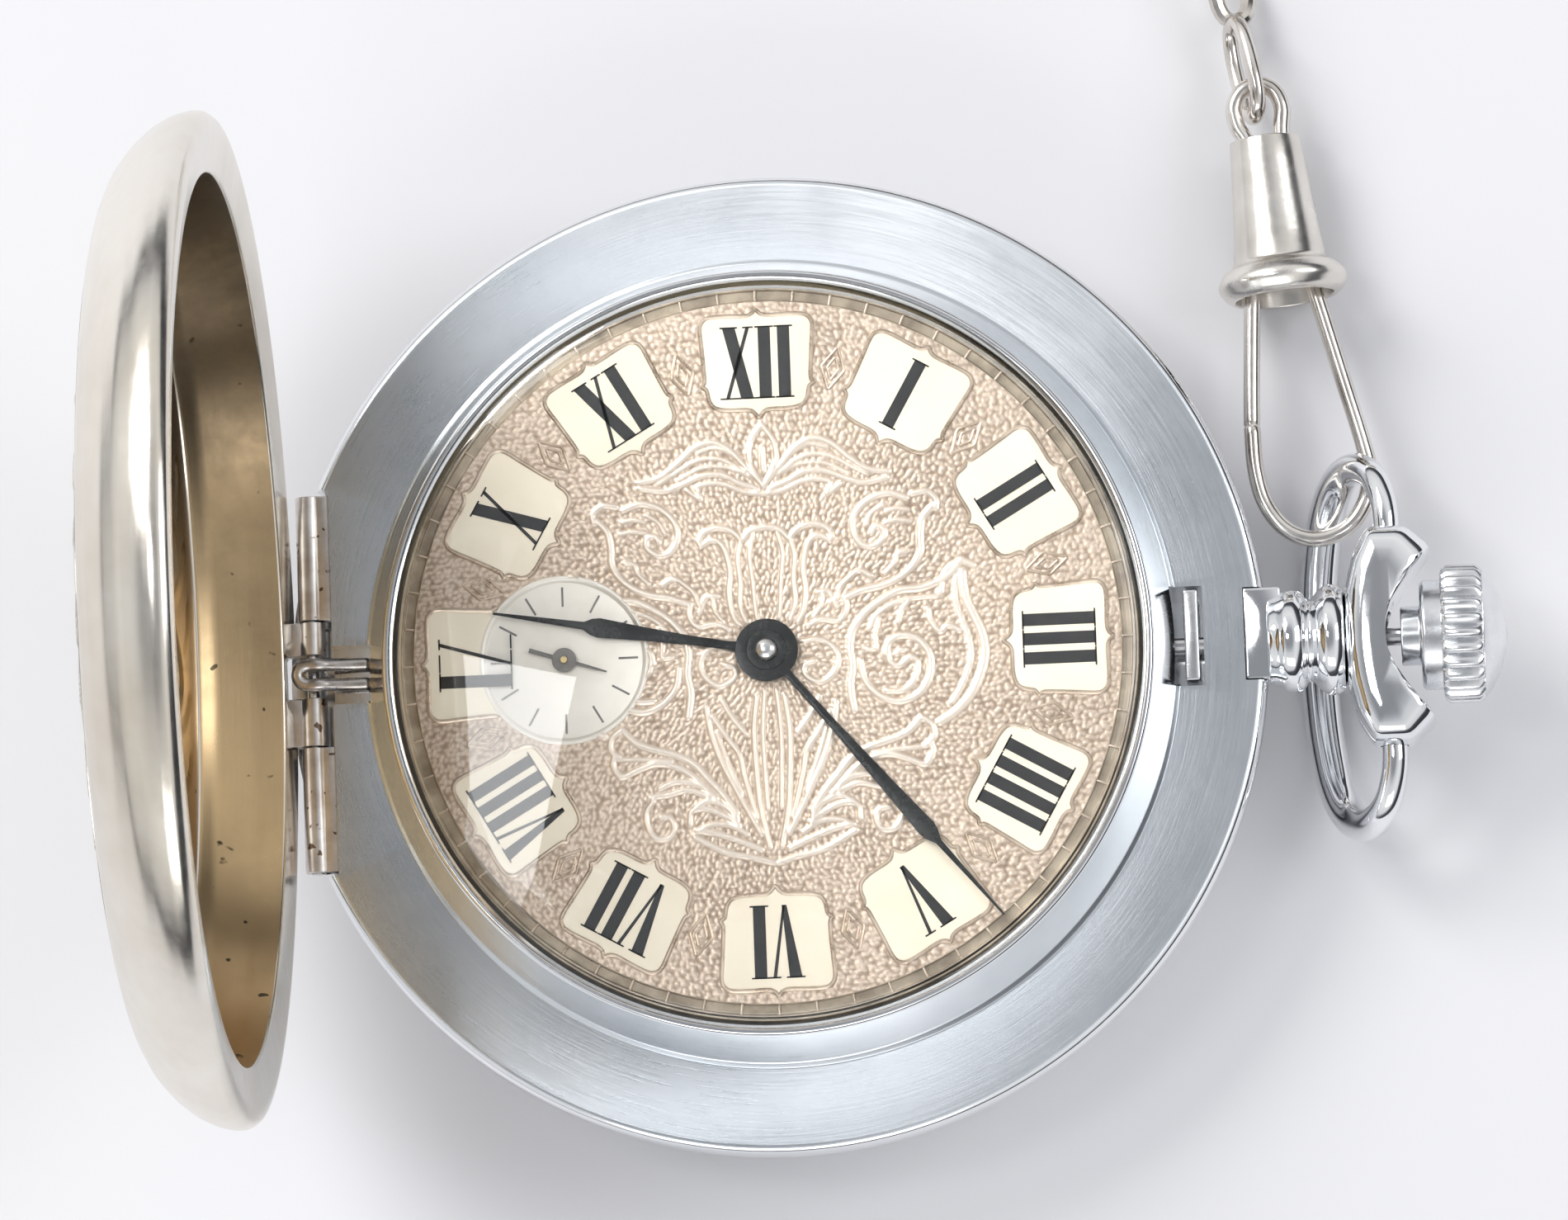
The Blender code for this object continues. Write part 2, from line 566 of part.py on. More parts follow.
def build_hands(group, tools):
    hour = math.atan2(2.52, -13.85)
    minute = math.atan2(-13.95, 11.5)
    second = math.atan2(-0.68, 2.14)
    build_hand("hour_hand", group, DIAL_Z + 0.14, 0.1, 14.05, 1.5, 0.22, 8.2, 0.46, 0.1, hour, 0.98)
    build_hand("minute_hand", group, DIAL_Z + 0.34, 0.1, 18.1, 1.6, 0.2, 12.0, 0.46, 0.09, minute, 0.62)
    build_hand("seconds_hand", group, DIAL_Z - 0.02, 0.1, 2.25, 0.62, 0.1, 1.2, 0.1, 0.05, second, 0.2,
               xy=(SUB_X, 0.0), tail=1.85)

    lathe("cannon_pinion", [(0.0, 9.95), (0.56, 9.95), (0.56, DIAL_Z + 0.72), (0.34, DIAL_Z + 1.0),
                            (0.0, DIAL_Z + 1.08)],
          "steel", group, steps=14)
    hour_wheel = prism("hour_wheel", tooth_outline(36, 2.9, 2.62), 11.35, 11.6, "brass", group)
    fuse(hour_wheel, rod("hour_wheel_tube", 0.93, 11.3, DIAL_Z + 0.29, None, tools, steps=14))
    cut(hour_wheel, rod("hour_wheel_bore", 0.6, 11.0, 14.0, None, tools, steps=14))
    minute_wheel = prism("minute_wheel", tooth_outline(30, 2.2, 1.95), 11.66, 11.84, "brass", group,
                         origin=(MINUTE_XY[0], MINUTE_XY[1], 0.0))
    fuse(minute_wheel, rod("minute_wheel_post", 0.4, 11.03, 11.9, None, tools, xy=MINUTE_XY, steps=12))
    cut(bpy.data.objects["dial"], rod("cut_dial_centre", 1.0, 11.0, 14.0, None, tools, steps=20))


# ---- movement ---------------------------------------------------------------

def wheel(name, xy, teeth, tip, z, thick, arbor_r, z_range, group, tools, pinion=None, kind="brass",
          bore=None):
    """Toothed wheel with its arbor and, where given, a pinion (teeth, tip radius, z0, z1)."""
    at = (xy[0], xy[1], 0.0)
    obj = prism(name, tooth_outline(teeth, tip, tip - 0.3), z, z + thick, kind, group, origin=at)
    if arbor_r is not None:
        fuse(obj, rod(name + "_arbor", arbor_r, z_range[0], z_range[1], None, tools, xy=xy, steps=10))
    if pinion is not None:
        count, radius, z0, z1 = pinion
        fuse(obj, prism(name + "_leaves", tooth_outline(count, radius, radius * 0.72), z0, z1, None, tools,
                        origin=at))
    if bore is not None:
        cut(obj, rod(name + "_bore", bore, z_range[0] - 1.0, z_range[1] + 1.0, None, tools, xy=xy, steps=14))
    return obj


def drill(target, xy, radius, z0, z1, tools, steps=10):
    label = "hole_%s_%d" % (target.name, len(target.modifiers))
    cut(target, rod(label, radius, z0, z1, None, tools, xy=xy, steps=steps))


def screw(name, xy, head_r, head_z, shank_r, tip_z, group, tools):
    obj = lathe(name, [(0.0, head_z[0]), (head_r - 0.1, head_z[0]), (head_r, head_z[0] + 0.1),
                       (head_r, head_z[1]),
                       (shank_r, head_z[1]), (shank_r, tip_z), (0.0, tip_z)], "steel", group, steps=16,
                origin=(xy[0], xy[1], 0.0))
    slot = box("slot_" + name, (xy[0] - 0.09, xy[1] - 1.5, head_z[0] - 0.5),
               (xy[0] + 0.09, xy[1] + 1.5, head_z[0] + 0.14), None, tools)
    cut(obj, slot)
    return obj


def build_movement(group, tools):
    lathe("movement_ring", [(18.2, RIM_Z + 0.03), (19.55, RIM_Z + 0.03), (19.55, 10.4), (18.2, 10.4)],
          "brushed", group, steps=MOVEMENT_STEPS)
    plate = lathe("main_plate", [
        (0.62, PLATE_BOTTOM_Z), (18.1, PLATE_BOTTOM_Z), (18.1, 10.43), (19.1, 10.43), (19.1, 10.85),
        (18.3, 10.85),
        (18.3, DIAL_Z - 0.53), (17.3, DIAL_Z - 0.53), (17.3, PLATE_TOP_Z), (0.62, PLATE_TOP_Z)], "gilt",
        group, steps=MOVEMENT_STEPS)
    for xy in (THIRD_XY, ESCAPE_XY, PALLET_XY, BALANCE_XY):
        drill(plate, xy, 0.2, PLATE_BOTTOM_Z - 1.0, PLATE_BOTTOM_Z + 0.4, tools)
    drill(plate, FOURTH_XY, 0.2, PLATE_BOTTOM_Z - 1.0, 12.0, tools)
    drill(plate, BARREL_XY, 0.75, PLATE_BOTTOM_Z - 1.0, PLATE_BOTTOM_Z + 0.4, tools, steps=16)

    z0, z1 = BRIDGE_Z
    bridge = prism("barrel_bridge", arc(MOVEMENT_R, -32.0, 118.0, 22) + [(-2.6, 4.2), (1.6, 1.9),
            (4.0, -3.4)], z0, z1, "gilt", group)
    foot = arc(MOVEMENT_R, 12.0, 112.0, 16) + list(reversed(arc(16.1, 12.0, 112.0, 16)))
    fuse(bridge, prism("barrel_bridge_foot", foot, z1 - 0.2, PLATE_BOTTOM_Z - 0.03, None, tools))
    cut(bridge, box("cut_winding_gap", (14.75, -1.6, 5.0), (16.5, 1.6, 8.0), None, tools),
        box("cut_clutch_gap", (12.2, -1.5, 6.35), (15.0, 1.5, 8.0), None, tools))
    drill(bridge, BARREL_XY, 0.85, z0 - 1.0, z1 + 1.0, tools, steps=16)
    drill(bridge, CROWN_WHEEL_XY, 0.5, z0 - 1.0, z1 + 1.0, tools, steps=12)
    drill(bridge, (13.2, 10.2), 0.5, z0 - 1.0, z1 + 1.9, tools)
    drill(bridge, (-3.5, 16.4), 0.5, z0 - 1.0, z1 + 1.9, tools)

    train = prism("train_bridge", arc(MOVEMENT_R, 121.0, 203.0, 14) + [(-9.6, -6.1), (-3.0, -5.3),
            (2.4, -2.6), (0.9, 1.3), (-3.4, 3.6)],
                  z0, z1, "gilt", group)
    foot = arc(MOVEMENT_R, 124.0, 178.0, 10) + list(reversed(arc(15.4, 124.0, 178.0, 10)))
    fuse(train, prism("train_bridge_foot", foot, z1 - 0.2, PLATE_BOTTOM_Z - 0.03, None, tools))
    drill(train, (0.0, 0.0), 0.34, z1 - 0.5, z1 + 1.0, tools)
    for xy in (THIRD_XY, FOURTH_XY, ESCAPE_XY):
        drill(train, xy, 0.2, z1 - 0.5, z1 + 1.0, tools)
    drill(train, (-13.2, 9.6), 0.5, z0 - 1.0, z1 + 1.9, tools)

    cock = prism("balance_cock", capsule(COCK_FOOT_XY, 2.4, BALANCE_XY, 1.9), z0, z1 - 0.05, "gilt", group)
    fuse(cock, rod("balance_cock_foot", 2.3, z1 - 0.3, PLATE_BOTTOM_Z - 0.03, None, tools, xy=COCK_FOOT_XY,
                   steps=20))
    drill(cock, BALANCE_XY, 0.2, z1 - 0.5, z1 + 1.0, tools)
    drill(cock, COCK_FOOT_XY, 0.5, z0 - 1.0, z1 + 1.9, tools)

    pallet = prism("pallet_bridge", capsule(PALLET_FOOT_XY, 0.9, PALLET_XY, 0.8, 8), 7.3, 7.75, "gilt", group)
    fuse(pallet, rod("pallet_bridge_foot", 0.85, 7.6, PLATE_BOTTOM_Z - 0.03, None, tools, xy=PALLET_FOOT_XY,
                     steps=14))
    drill(pallet, PALLET_XY, 0.2, 7.5, 9.0, tools)

    for name, xy in (("barrel_bridge_screw_a", (13.2, 10.2)), ("barrel_bridge_screw_b", (-3.5, 16.4)),
                     ("train_bridge_screw", (-13.2, 9.6)), ("balance_cock_screw", COCK_FOOT_XY)):
        screw(name, xy, 0.95, (5.45, 5.87), 0.46, 8.6, group, tools)


def spiral_band(name, xy, r0, r1, turns, width, z0, z1, kind, group, per_turn):
    """Flat spring strip wound as a spiral."""
    count = int(turns * per_turn)
    bm = bmesh.new()
    rings = []
    for i in range(count + 1):
        t = i / count
        angle = 2.0 * math.pi * turns * t
        r = r0 + (r1 - r0) * t
        c, s = math.cos(angle), math.sin(angle)
        lo, hi = r - 0.5 * width, r + 0.5 * width
        rings.append([(xy[0] + lo * c, xy[1] + lo * s, z0), (xy[0] + hi * c, xy[1] + hi * s, z0),
                      (xy[0] + hi * c, xy[1] + hi * s, z1), (xy[0] + lo * c, xy[1] + lo * s, z1)])
    skin(bm, rings)
    return finish_mesh(name, bm, kind, False, group)


def build_power(group, tools):
    at = (BARREL_XY[0], BARREL_XY[1], 0.0)
    barrel = lathe("barrel", [(0.0, 9.03), (6.6, 9.03), (6.6, 7.3), (0.0, 7.3)], "brass", group, steps=24,
                   origin=at)
    fuse(barrel, prism("barrel_teeth", tooth_outline(60, 7.15, 6.85), 8.6, 9.05, None, tools, origin=at))
    cut(barrel, rod("cut_barrel_bore", 0.75, 6.0, 10.0, None, tools, xy=BARREL_XY, steps=16),
        rod("cut_barrel_hollow", 6.25, 6.0, 8.8, None, tools, xy=BARREL_XY, steps=24))
    lathe("barrel_cover", [(0.75, 7.28), (0.75, 7.05), (6.6, 7.05), (6.6, 7.28)], "brass", group, steps=24,
          origin=at)
    spiral_band("mainspring", BARREL_XY, 1.5, 6.0, 4.0, 0.16, 7.4, 8.7, "steel", group, 12)
    lathe("barrel_arbor", [(0.0, 5.3), (0.7, 5.3), (0.7, 7.36), (1.3, 7.36), (1.3, 8.74), (0.7, 8.74),
                           (0.7, 10.1), (0.0, 10.1)],
          "steel", group, steps=16, origin=at)
    wheel("ratchet_wheel", BARREL_XY, 40, 5.15, 5.35, 0.45, None, (5.35, 5.8), group, tools, kind="steel",
          bore=0.73)
    wheel("crown_wheel", CROWN_WHEEL_XY, 34, 4.38, 5.35, 0.45, 0.46, (5.3, 6.8), group, tools, kind="steel")
    click = prism("click", capsule(CLICK_XY, 0.6, (10.2, 8.3), 0.35, 6), 5.4, 5.8, "steel", group)
    fuse(click, rod("click_post", 0.3, 5.5, 6.8, None, tools, xy=CLICK_XY, steps=10))
    drill(bpy.data.objects["barrel_bridge"], CLICK_XY, 0.34, 5.0, 8.0, tools)


def build_train(group, tools):
    wheel("centre_wheel", (0.0, 0.0), 64, 5.4, 9.25, 0.25, 0.3, (6.45, 9.5), group, tools,
          pinion=(10, 1.0, 7.2, 9.0))
    wheel("third_wheel", THIRD_XY, 60, 4.85, 8.62, 0.22, 0.17, (6.45, 10.15), group, tools,
          pinion=(8, 0.7, 9.15, 9.6))
    wheel("fourth_wheel", FOURTH_XY, 70, 4.15, 7.7, 0.22, 0.17, (6.45, DIAL_Z + 0.2), group, tools,
          pinion=(8, 0.62, 8.35, 9.1))
    wheel("escape_wheel", ESCAPE_XY, 15, 2.55, 8.15, 0.2, 0.17, (6.45, 10.15), group, tools,
          pinion=(7, 0.5, 7.5, 8.0), kind="steel")

    dx, dy = BALANCE_XY[0] - PALLET_XY[0], BALANCE_XY[1] - PALLET_XY[1]
    reach = math.hypot(dx, dy)
    ux, uy = dx / reach, dy / reach
    tip = (PALLET_XY[0] + ux * 5.2, PALLET_XY[1] + uy * 5.2)
    fork = prism("pallet_fork", capsule(PALLET_XY, 0.42, tip, 0.3, 6), 8.2, 8.4, "steel", group)
    fuse(fork, rod("pallet_arbor", 0.17, 7.55, 10.15, None, tools, xy=PALLET_XY, steps=10))
    arm_a = (PALLET_XY[0] - uy * 1.5, PALLET_XY[1] + ux * 1.5)
    arm_b = (PALLET_XY[0] + uy * 1.5, PALLET_XY[1] - ux * 1.5)
    fuse(fork, prism("pallet_arms", capsule(arm_a, 0.26, arm_b, 0.26, 5), 8.22, 8.38, None, tools))

    at = (BALANCE_XY[0], BALANCE_XY[1], 0.0)
    balance = lathe("balance_wheel", [(4.05, 7.35), (4.55, 7.35), (4.55, 7.75), (4.05, 7.75)], "brass",
                    group, steps=24, origin=at)
    bar = [(BALANCE_XY[0] - 4.2, BALANCE_XY[1] - 0.3), (BALANCE_XY[0] + 4.2, BALANCE_XY[1] - 0.3),
           (BALANCE_XY[0] + 4.2, BALANCE_XY[1] + 0.3), (BALANCE_XY[0] - 4.2, BALANCE_XY[1] + 0.3)]
    fuse(balance, prism("balance_arm", bar, 7.42, 7.68, None, tools))
    fuse(balance, rod("balance_staff", 0.17, 6.45, 10.15, None, tools, xy=BALANCE_XY, steps=10))
    fuse(balance, rod("balance_roller", 0.9, 8.6, 8.8, None, tools, xy=BALANCE_XY, steps=16))
    spiral_band("hairspring", BALANCE_XY, 0.6, 2.6, 4.0, 0.06, 6.98, 7.16, "steel", group, 10)


# ---- clasp and chain --------------------------------------------------------

def clasp_knots():
    """Wire from the cut of the gate up through the sleeve, round the eye and down to the hook."""
    z = CLASP_Z
    return [(24.71, 11.95, z), (24.78, 14.0, z), (24.94, 17.5, z), (25.1, 20.5, z), (25.2, 24.0, z),
            (25.12, 26.4, z),
            (24.6, 27.5, z), (24.45, 28.5, z), (24.9, 29.35, z), (25.75, 29.68, z), (26.55, 29.3, z),
            (26.92, 28.4, z),
            (26.85, 27.3, z), (26.9, 26.0, z), (27.2, 23.0, z), (27.85, 20.2, z), (28.6, 17.4, z),
            (29.5, 14.0, z),
            (30.35, 10.8, z), (30.62, 9.2, z), (30.3, 7.6, z), (29.3, 6.35, z), (27.8, 5.87, z),
            (26.3, 6.4, z),
            (25.25, 7.8, z), (24.8, 9.6, z), (24.71, 11.75, z)]


def build_clasp(group, tools):
    sweep("clasp_wire", smooth_path(clasp_knots(), 2), CLASP_WIRE_R, "nickel", group, sides=6)

    top, mouth = Vector((25.98, 26.75, CLASP_Z)), Vector((26.68, 18.45, CLASP_Z))
    along = mouth - top
    length = along.length
    along.normalize()
    outer = [(1.83, 0.0), (2.05, 3.0), (2.42, length - 1.9), (2.95, length - 1.55), (3.3, length - 1.05),
             (3.34, length - 0.7), (3.05, length - 0.2), (2.75, length)]
    inner = [(2.55, length), (2.35, length - 1.5), (1.95, 3.2), (1.66, 0.0)]
    sleeve = lathe("clasp_sleeve", outer + inner, "nickel", group, steps=18)
    heading = along.to_track_quat("Z", "Y").to_matrix().to_4x4()
    sleeve.data.transform(Matrix.Translation(top * MM) @ heading)


def link_loop(centre, along, wide_dir, length, width, wire_r, name, group):
    """One closed oval link."""
    along, wide_dir = Vector(along).normalized(), Vector(wide_dir).normalized()
    path = []
    for i in range(20):
        a = 2.0 * math.pi * i / 20
        lengthwise = along * ((length * 0.5 - wire_r) * math.cos(a))
        crosswise = wide_dir * ((width * 0.5 - wire_r) * math.sin(a))
        path.append(Vector(centre) + lengthwise + crosswise)
    return sweep(name, path, wire_r, "nickel", group, sides=8, closed=True)


def build_chain(group, tools):
    link_loop((25.05, 30.6, 2.9), (-0.2, 1.0, -0.16), (0.3, 0.22, 1.0), 6.0, 3.6, 0.4, "chain_end_link",
              group)
    knots = [(24.45, 34.15, 1.95), (24.4, 35.6, 1.8), (24.1, 37.4, 1.6), (23.9, 39.8, 1.6)]
    sweep("chain_run", smooth_path(knots, 2), CHAIN_D * 0.5, "nickel", group, sides=12)

    floor = 0.05
    lathe("chain_coil", [(COIL_R - 3.2, floor), (COIL_R + 3.2, floor), (COIL_R + 3.2, floor + CHAIN_D),
                         (COIL_R + 1.6, 2.0 * CHAIN_D), (COIL_R - 1.6, 2.0 * CHAIN_D),
                         (COIL_R - 3.2, floor + CHAIN_D)],
          "nickel", group, steps=32, origin=(COIL_XY[0], COIL_XY[1], 0.0), phase=0.0)
    at = (COIL_XY[0], COIL_XY[1] - 2.0, 1.5)
    bar = lathe("chain_t_bar", [(0.0, -8.6), (0.9, -8.4), (1.35, -7.7), (1.2, -7.0), (0.8, -6.6),
                                (0.9, 0.0), (0.8, 6.6),
                                (1.2, 7.0), (1.35, 7.7), (0.9, 8.4), (0.0, 8.6)], "nickel", group, steps=16,
                                origin=at, axis="X")
    eye = []
    for i in range(16):
        a = 2.0 * math.pi * i / 16
        eye.append((at[0], at[1] + 1.9 + 1.5 * math.cos(a), at[2] + 0.1 + 1.0 * math.sin(a)))
    fuse(bar, sweep("chain_t_bar_eye", eye, 0.35, None, tools, sides=8, closed=True))


def place_origins(points):
    """Give each moving piece an origin on its joint axis, leaving its shape where it is."""
    for name, point in points.items():
        obj = bpy.data.objects[name]
        at = Vector(point) * MM
        obj.data.transform(Matrix.Translation(-at))
        obj.location = at


def joint_points():
    lid = (-HINGE_X, 0.0, HINGE_Z)
    points = {"lid_ring": lid, "lid_panel": lid, "lid_knuckle": lid, "bow": (BOW_PIVOT_X, 0.0, STEM_Z)}
    for name, x in (("winding_stem", 9.6), ("crown", 32.0), ("setting_lever", 16.9), ("lid_catch", 21.3),
                    ("winding_pinion", 15.6), ("clutch_pinion", 13.5)):
        points[name] = (x, 0.0, STEM_Z)
    for name, xy in (("hour_hand", (0.0, 0.0)), ("minute_hand", (0.0, 0.0)), ("hour_wheel", (0.0, 0.0)),
                     ("cannon_pinion", (0.0, 0.0)), ("centre_wheel", (0.0, 0.0)),
                     ("seconds_hand", (SUB_X, 0.0)),
                     ("fourth_wheel", FOURTH_XY), ("third_wheel", THIRD_XY), ("escape_wheel", ESCAPE_XY),
                     ("pallet_fork", PALLET_XY), ("balance_wheel", BALANCE_XY), ("minute_wheel", MINUTE_XY),
                     ("barrel", BARREL_XY), ("barrel_cover", BARREL_XY), ("barrel_arbor", BARREL_XY),
                     ("ratchet_wheel", BARREL_XY), ("crown_wheel", CROWN_WHEEL_XY), ("click", CLICK_XY)):
        points[name] = (xy[0], xy[1], PLATE_BOTTOM_Z)
    for name in ("clasp_wire", "clasp_sleeve", "chain_end_link", "chain_run", "chain_coil", "chain_t_bar"):
        points[name] = CLASP_PIVOT
    return points


def main():
    clear_scene()
    group = make_collection(PARTS)
    tools = make_collection(CUTTERS)
    tools.hide_render = True
    build_case(group, tools)
    build_hinge(group, tools)
    build_lid(group, tools)
    build_catch(group, tools)
    build_pendant(group, tools)
    build_bow(group)
    build_crown(group, tools)
    build_stem(group, tools)
    build_dial(group, tools)
    build_hands(group, tools)
    build_movement(group, tools)
    build_power(group, tools)
    build_train(group, tools)
    build_clasp(group, tools)
    build_chain(group, tools)
    place_origins(joint_points())


main()
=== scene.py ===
"""Looks of the hunter-case pocket watch.

Sizes are millimetres until a mesh is made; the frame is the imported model's.
"""
import math

import bmesh
import bpy
import numpy as np
from mathutils import Matrix, Vector


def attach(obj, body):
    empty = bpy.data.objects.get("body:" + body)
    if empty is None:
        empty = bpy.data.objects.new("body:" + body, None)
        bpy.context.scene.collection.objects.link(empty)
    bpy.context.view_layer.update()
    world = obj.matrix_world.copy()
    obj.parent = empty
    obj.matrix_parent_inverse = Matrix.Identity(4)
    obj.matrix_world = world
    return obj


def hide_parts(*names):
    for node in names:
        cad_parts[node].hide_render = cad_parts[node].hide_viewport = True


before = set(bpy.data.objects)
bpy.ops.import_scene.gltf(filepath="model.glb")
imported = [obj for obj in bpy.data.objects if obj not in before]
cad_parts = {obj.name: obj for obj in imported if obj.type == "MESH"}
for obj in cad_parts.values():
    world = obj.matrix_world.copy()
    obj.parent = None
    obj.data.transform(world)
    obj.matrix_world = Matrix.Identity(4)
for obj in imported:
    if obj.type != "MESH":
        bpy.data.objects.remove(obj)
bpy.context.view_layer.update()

TAU = 2.0 * math.pi
MM = 0.001                          # metres in a millimetre
ROUND_STEPS = 288                   # facets round the large turned pieces

# The watch's own places, the same as in the part.
RIM_Z = 8.5                         # flat top of the case band
HINGE_X, HINGE_Z = -23.6, 7.6       # lid's axis, along Y
OPEN_ANGLE = math.radians(90.5)
STEM_Z = 7.7                        # axis of stem, crown and pendant
BOW_X = 31.4                        # the bow's pivot
CLASP_Z = 3.36
CHAIN_D, CHAIN_LENGTH = 3.0, 300.0
SUB_X, SUB_R = -10.3, 4.15          # small seconds dial
DIAL_R = 17.93                      # where the dial's field meets the minute track
DIAL_BACK_Z = 12.02
SUB_BED_Z = 12.24
FIELD_Z = 12.44
CARTOUCHE_R = 14.8                  # middles of the numeral plates

# Materials.
BUMP_DEPTH = 0.00002                # metres
CLOUD_LOW, CLOUD_HIGH = 0.3, 0.7    # most of a noise lies between these


# ---- materials --------------------------------------------------------------

def node(tree, kind, inputs=None, **settings):
    made = tree.nodes.new(kind)
    for key, value in settings.items():
        setattr(made, key, value)
    for key, value in (inputs or {}).items():
        socket = made.inputs[key]
        if isinstance(value, bpy.types.NodeSocket):
            tree.links.new(value, socket)
        else:
            socket.default_value = value
    return made


def maths(tree, operation, a, b=0.0):
    return node(tree, "ShaderNodeMath", {0: a, 1: b}, operation=operation).outputs[0]


def noise(tree, vector, scale, detail=4.0, rough=0.55):
    return node(tree, "ShaderNodeTexNoise", {
        "Vector": vector, "Scale": scale, "Detail": detail, "Roughness": rough}).outputs["Fac"]


def ramp(tree, value, stops):
    made = node(tree, "ShaderNodeValToRGB", {"Fac": value})
    elements = made.color_ramp.elements
    while len(elements) < len(stops):
        elements.new(0.5)
    for element, (place, colour) in zip(elements, stops):
        element.position = place
        element.color = (*colour, 1.0)
    return made.outputs["Color"]


def span(tree, value, low, high):
    """A noise spread over a range."""
    return node(tree, "ShaderNodeMapRange", {
        "Value": value, "From Min": CLOUD_LOW, "From Max": CLOUD_HIGH,
        "To Min": low, "To Max": high}).outputs["Result"]


def start_material(name):
    """A new material with a shader on its output, and the object's coordinates for its noises."""
    made = bpy.data.materials.new(name)
    made.use_nodes = True
    tree = made.node_tree
    tree.nodes.clear()
    shader = node(tree, "ShaderNodeBsdfPrincipled")
    node(tree, "ShaderNodeOutputMaterial", {"Surface": shader.outputs[0]})
    place = node(tree, "ShaderNodeTexCoord").outputs["Object"]
    return made, tree, shader, place


def colour_and_gloss(tree, shader, colour, uneven, low, high):
    """Puts a colour on the shader, and a roughness that runs from low to high with a noise."""
    tree.links.new(colour, shader.inputs["Base Color"])
    tree.links.new(span(tree, uneven, low, high), shader.inputs["Roughness"])


def bump_by(tree, shader, height, strength):
    marks = node(tree, "ShaderNodeBump", {"Height": height, "Strength": strength, "Distance": BUMP_DEPTH})
    tree.links.new(marks.outputs[0], shader.inputs["Normal"])


def specked(tree, place, colour, scale, level, dark):
    """The colour with dark specks where a noise passes the level."""
    spots = noise(tree, place, scale, 2.0, 0.5)
    cover = ramp(tree, spots, [(level, (0, 0, 0)), (level + 0.03, (1, 1, 1))])
    return node(tree, "ShaderNodeMix", {"Factor": cover, 6: colour, 7: (*dark, 1.0)},
                data_type="RGBA").outputs[2]


def turned_place(tree, place, along, around):
    """Coordinates that run with the radius and round the watch's axis, for lathe and brush marks."""
    parts = node(tree, "ShaderNodeSeparateXYZ", {0: place})
    x, y, z = parts.outputs
    squares = maths(tree, "ADD", maths(tree, "MULTIPLY", x, x), maths(tree, "MULTIPLY", y, y))
    radius = maths(tree, "SQRT", squares)
    angle = maths(tree, "ARCTAN2", y, x)
    return node(tree, "ShaderNodeCombineXYZ", {
        0: maths(tree, "MULTIPLY", radius, along), 1: maths(tree, "MULTIPLY", angle, around),
        2: maths(tree, "MULTIPLY", z, along * 0.35)}).outputs[0]


def metal(name, light, dark, roughness, cloud=90.0, grain=2600.0, bump=0.12, stretch=None, turned=None,
          specks=None, metallic=1.0, spread=0.08):
    """Metal with clouded colour, uneven gloss and fine scratches.

    stretch scales the scratches into straight brush lines, turned makes them run round the axis, and
    specks is (scale, level, colour).
    """
    made, tree, shader, place = start_material(name)
    lines = place
    if stretch:
        lines = node(tree, "ShaderNodeMapping", {"Vector": place, "Scale": stretch}).outputs[0]
    if turned:
        lines = turned_place(tree, place, *turned)
    clouds = noise(tree, place, cloud, 5.0, 0.6)
    fine = noise(tree, lines, grain if not turned else 1.0, 6.0, 0.65)
    colour = ramp(tree, clouds, [(0.32, dark), (0.62, light)])
    if specks:
        colour = specked(tree, place, colour, *specks)
    both = maths(tree, "ADD", maths(tree, "MULTIPLY", clouds, 0.5), maths(tree, "MULTIPLY", fine, 0.5))
    colour_and_gloss(tree, shader, colour, both, roughness - spread, roughness + spread)
    shader.inputs["Metallic"].default_value = metallic
    bump_by(tree, shader, fine, bump)
    return made


def rim_material():
    """Round brushed steel: bluish, with the gloss drawn out across the lines."""
    made = metal("brushed_rim", (0.72, 0.755, 0.79), (0.56, 0.60, 0.64), 0.30, cloud=55.0, bump=0.35,
                 turned=(9000.0, 5.0))
    shader = next(n for n in made.node_tree.nodes if n.type == "BSDF_PRINCIPLED")
    shader.inputs["Anisotropic"].default_value = 0.75
    tangent = node(made.node_tree, "ShaderNodeTangent", direction_type="RADIAL", axis="Z")
    made.node_tree.links.new(tangent.outputs[0], shader.inputs["Tangent"])
    return made


def dial_material():
    """Silvered rose field with painted shade: darker in the hollows and lighter on the ridges, from the mesh's
    own relief.
    """
    made, tree, shader, place = start_material("dial_silvered")
    relief = node(tree, "ShaderNodeAttribute", attribute_name="relief").outputs["Fac"]
    clouds = noise(tree, place, 180.0, 4.0, 0.6)
    mixed = maths(tree, "ADD", relief, maths(tree, "MULTIPLY", clouds, 0.16))
    # Painted shade darkens the hollows between the pebbles and lines, and the raised tops are painted lighter.
    colour = ramp(tree, mixed, [(0.04, (0.25, 0.17, 0.115)), (0.30, (0.60, 0.485, 0.39)),
                                (0.60, (0.78, 0.67, 0.57)), (0.95, (0.80, 0.71, 0.62))])
    colour_and_gloss(tree, shader, colour, clouds, 0.32, 0.46)
    shader.inputs["Metallic"].default_value = 0.72
    bump_by(tree, shader, noise(tree, place, 5200.0, 3.0, 0.6), 0.18)
    return made


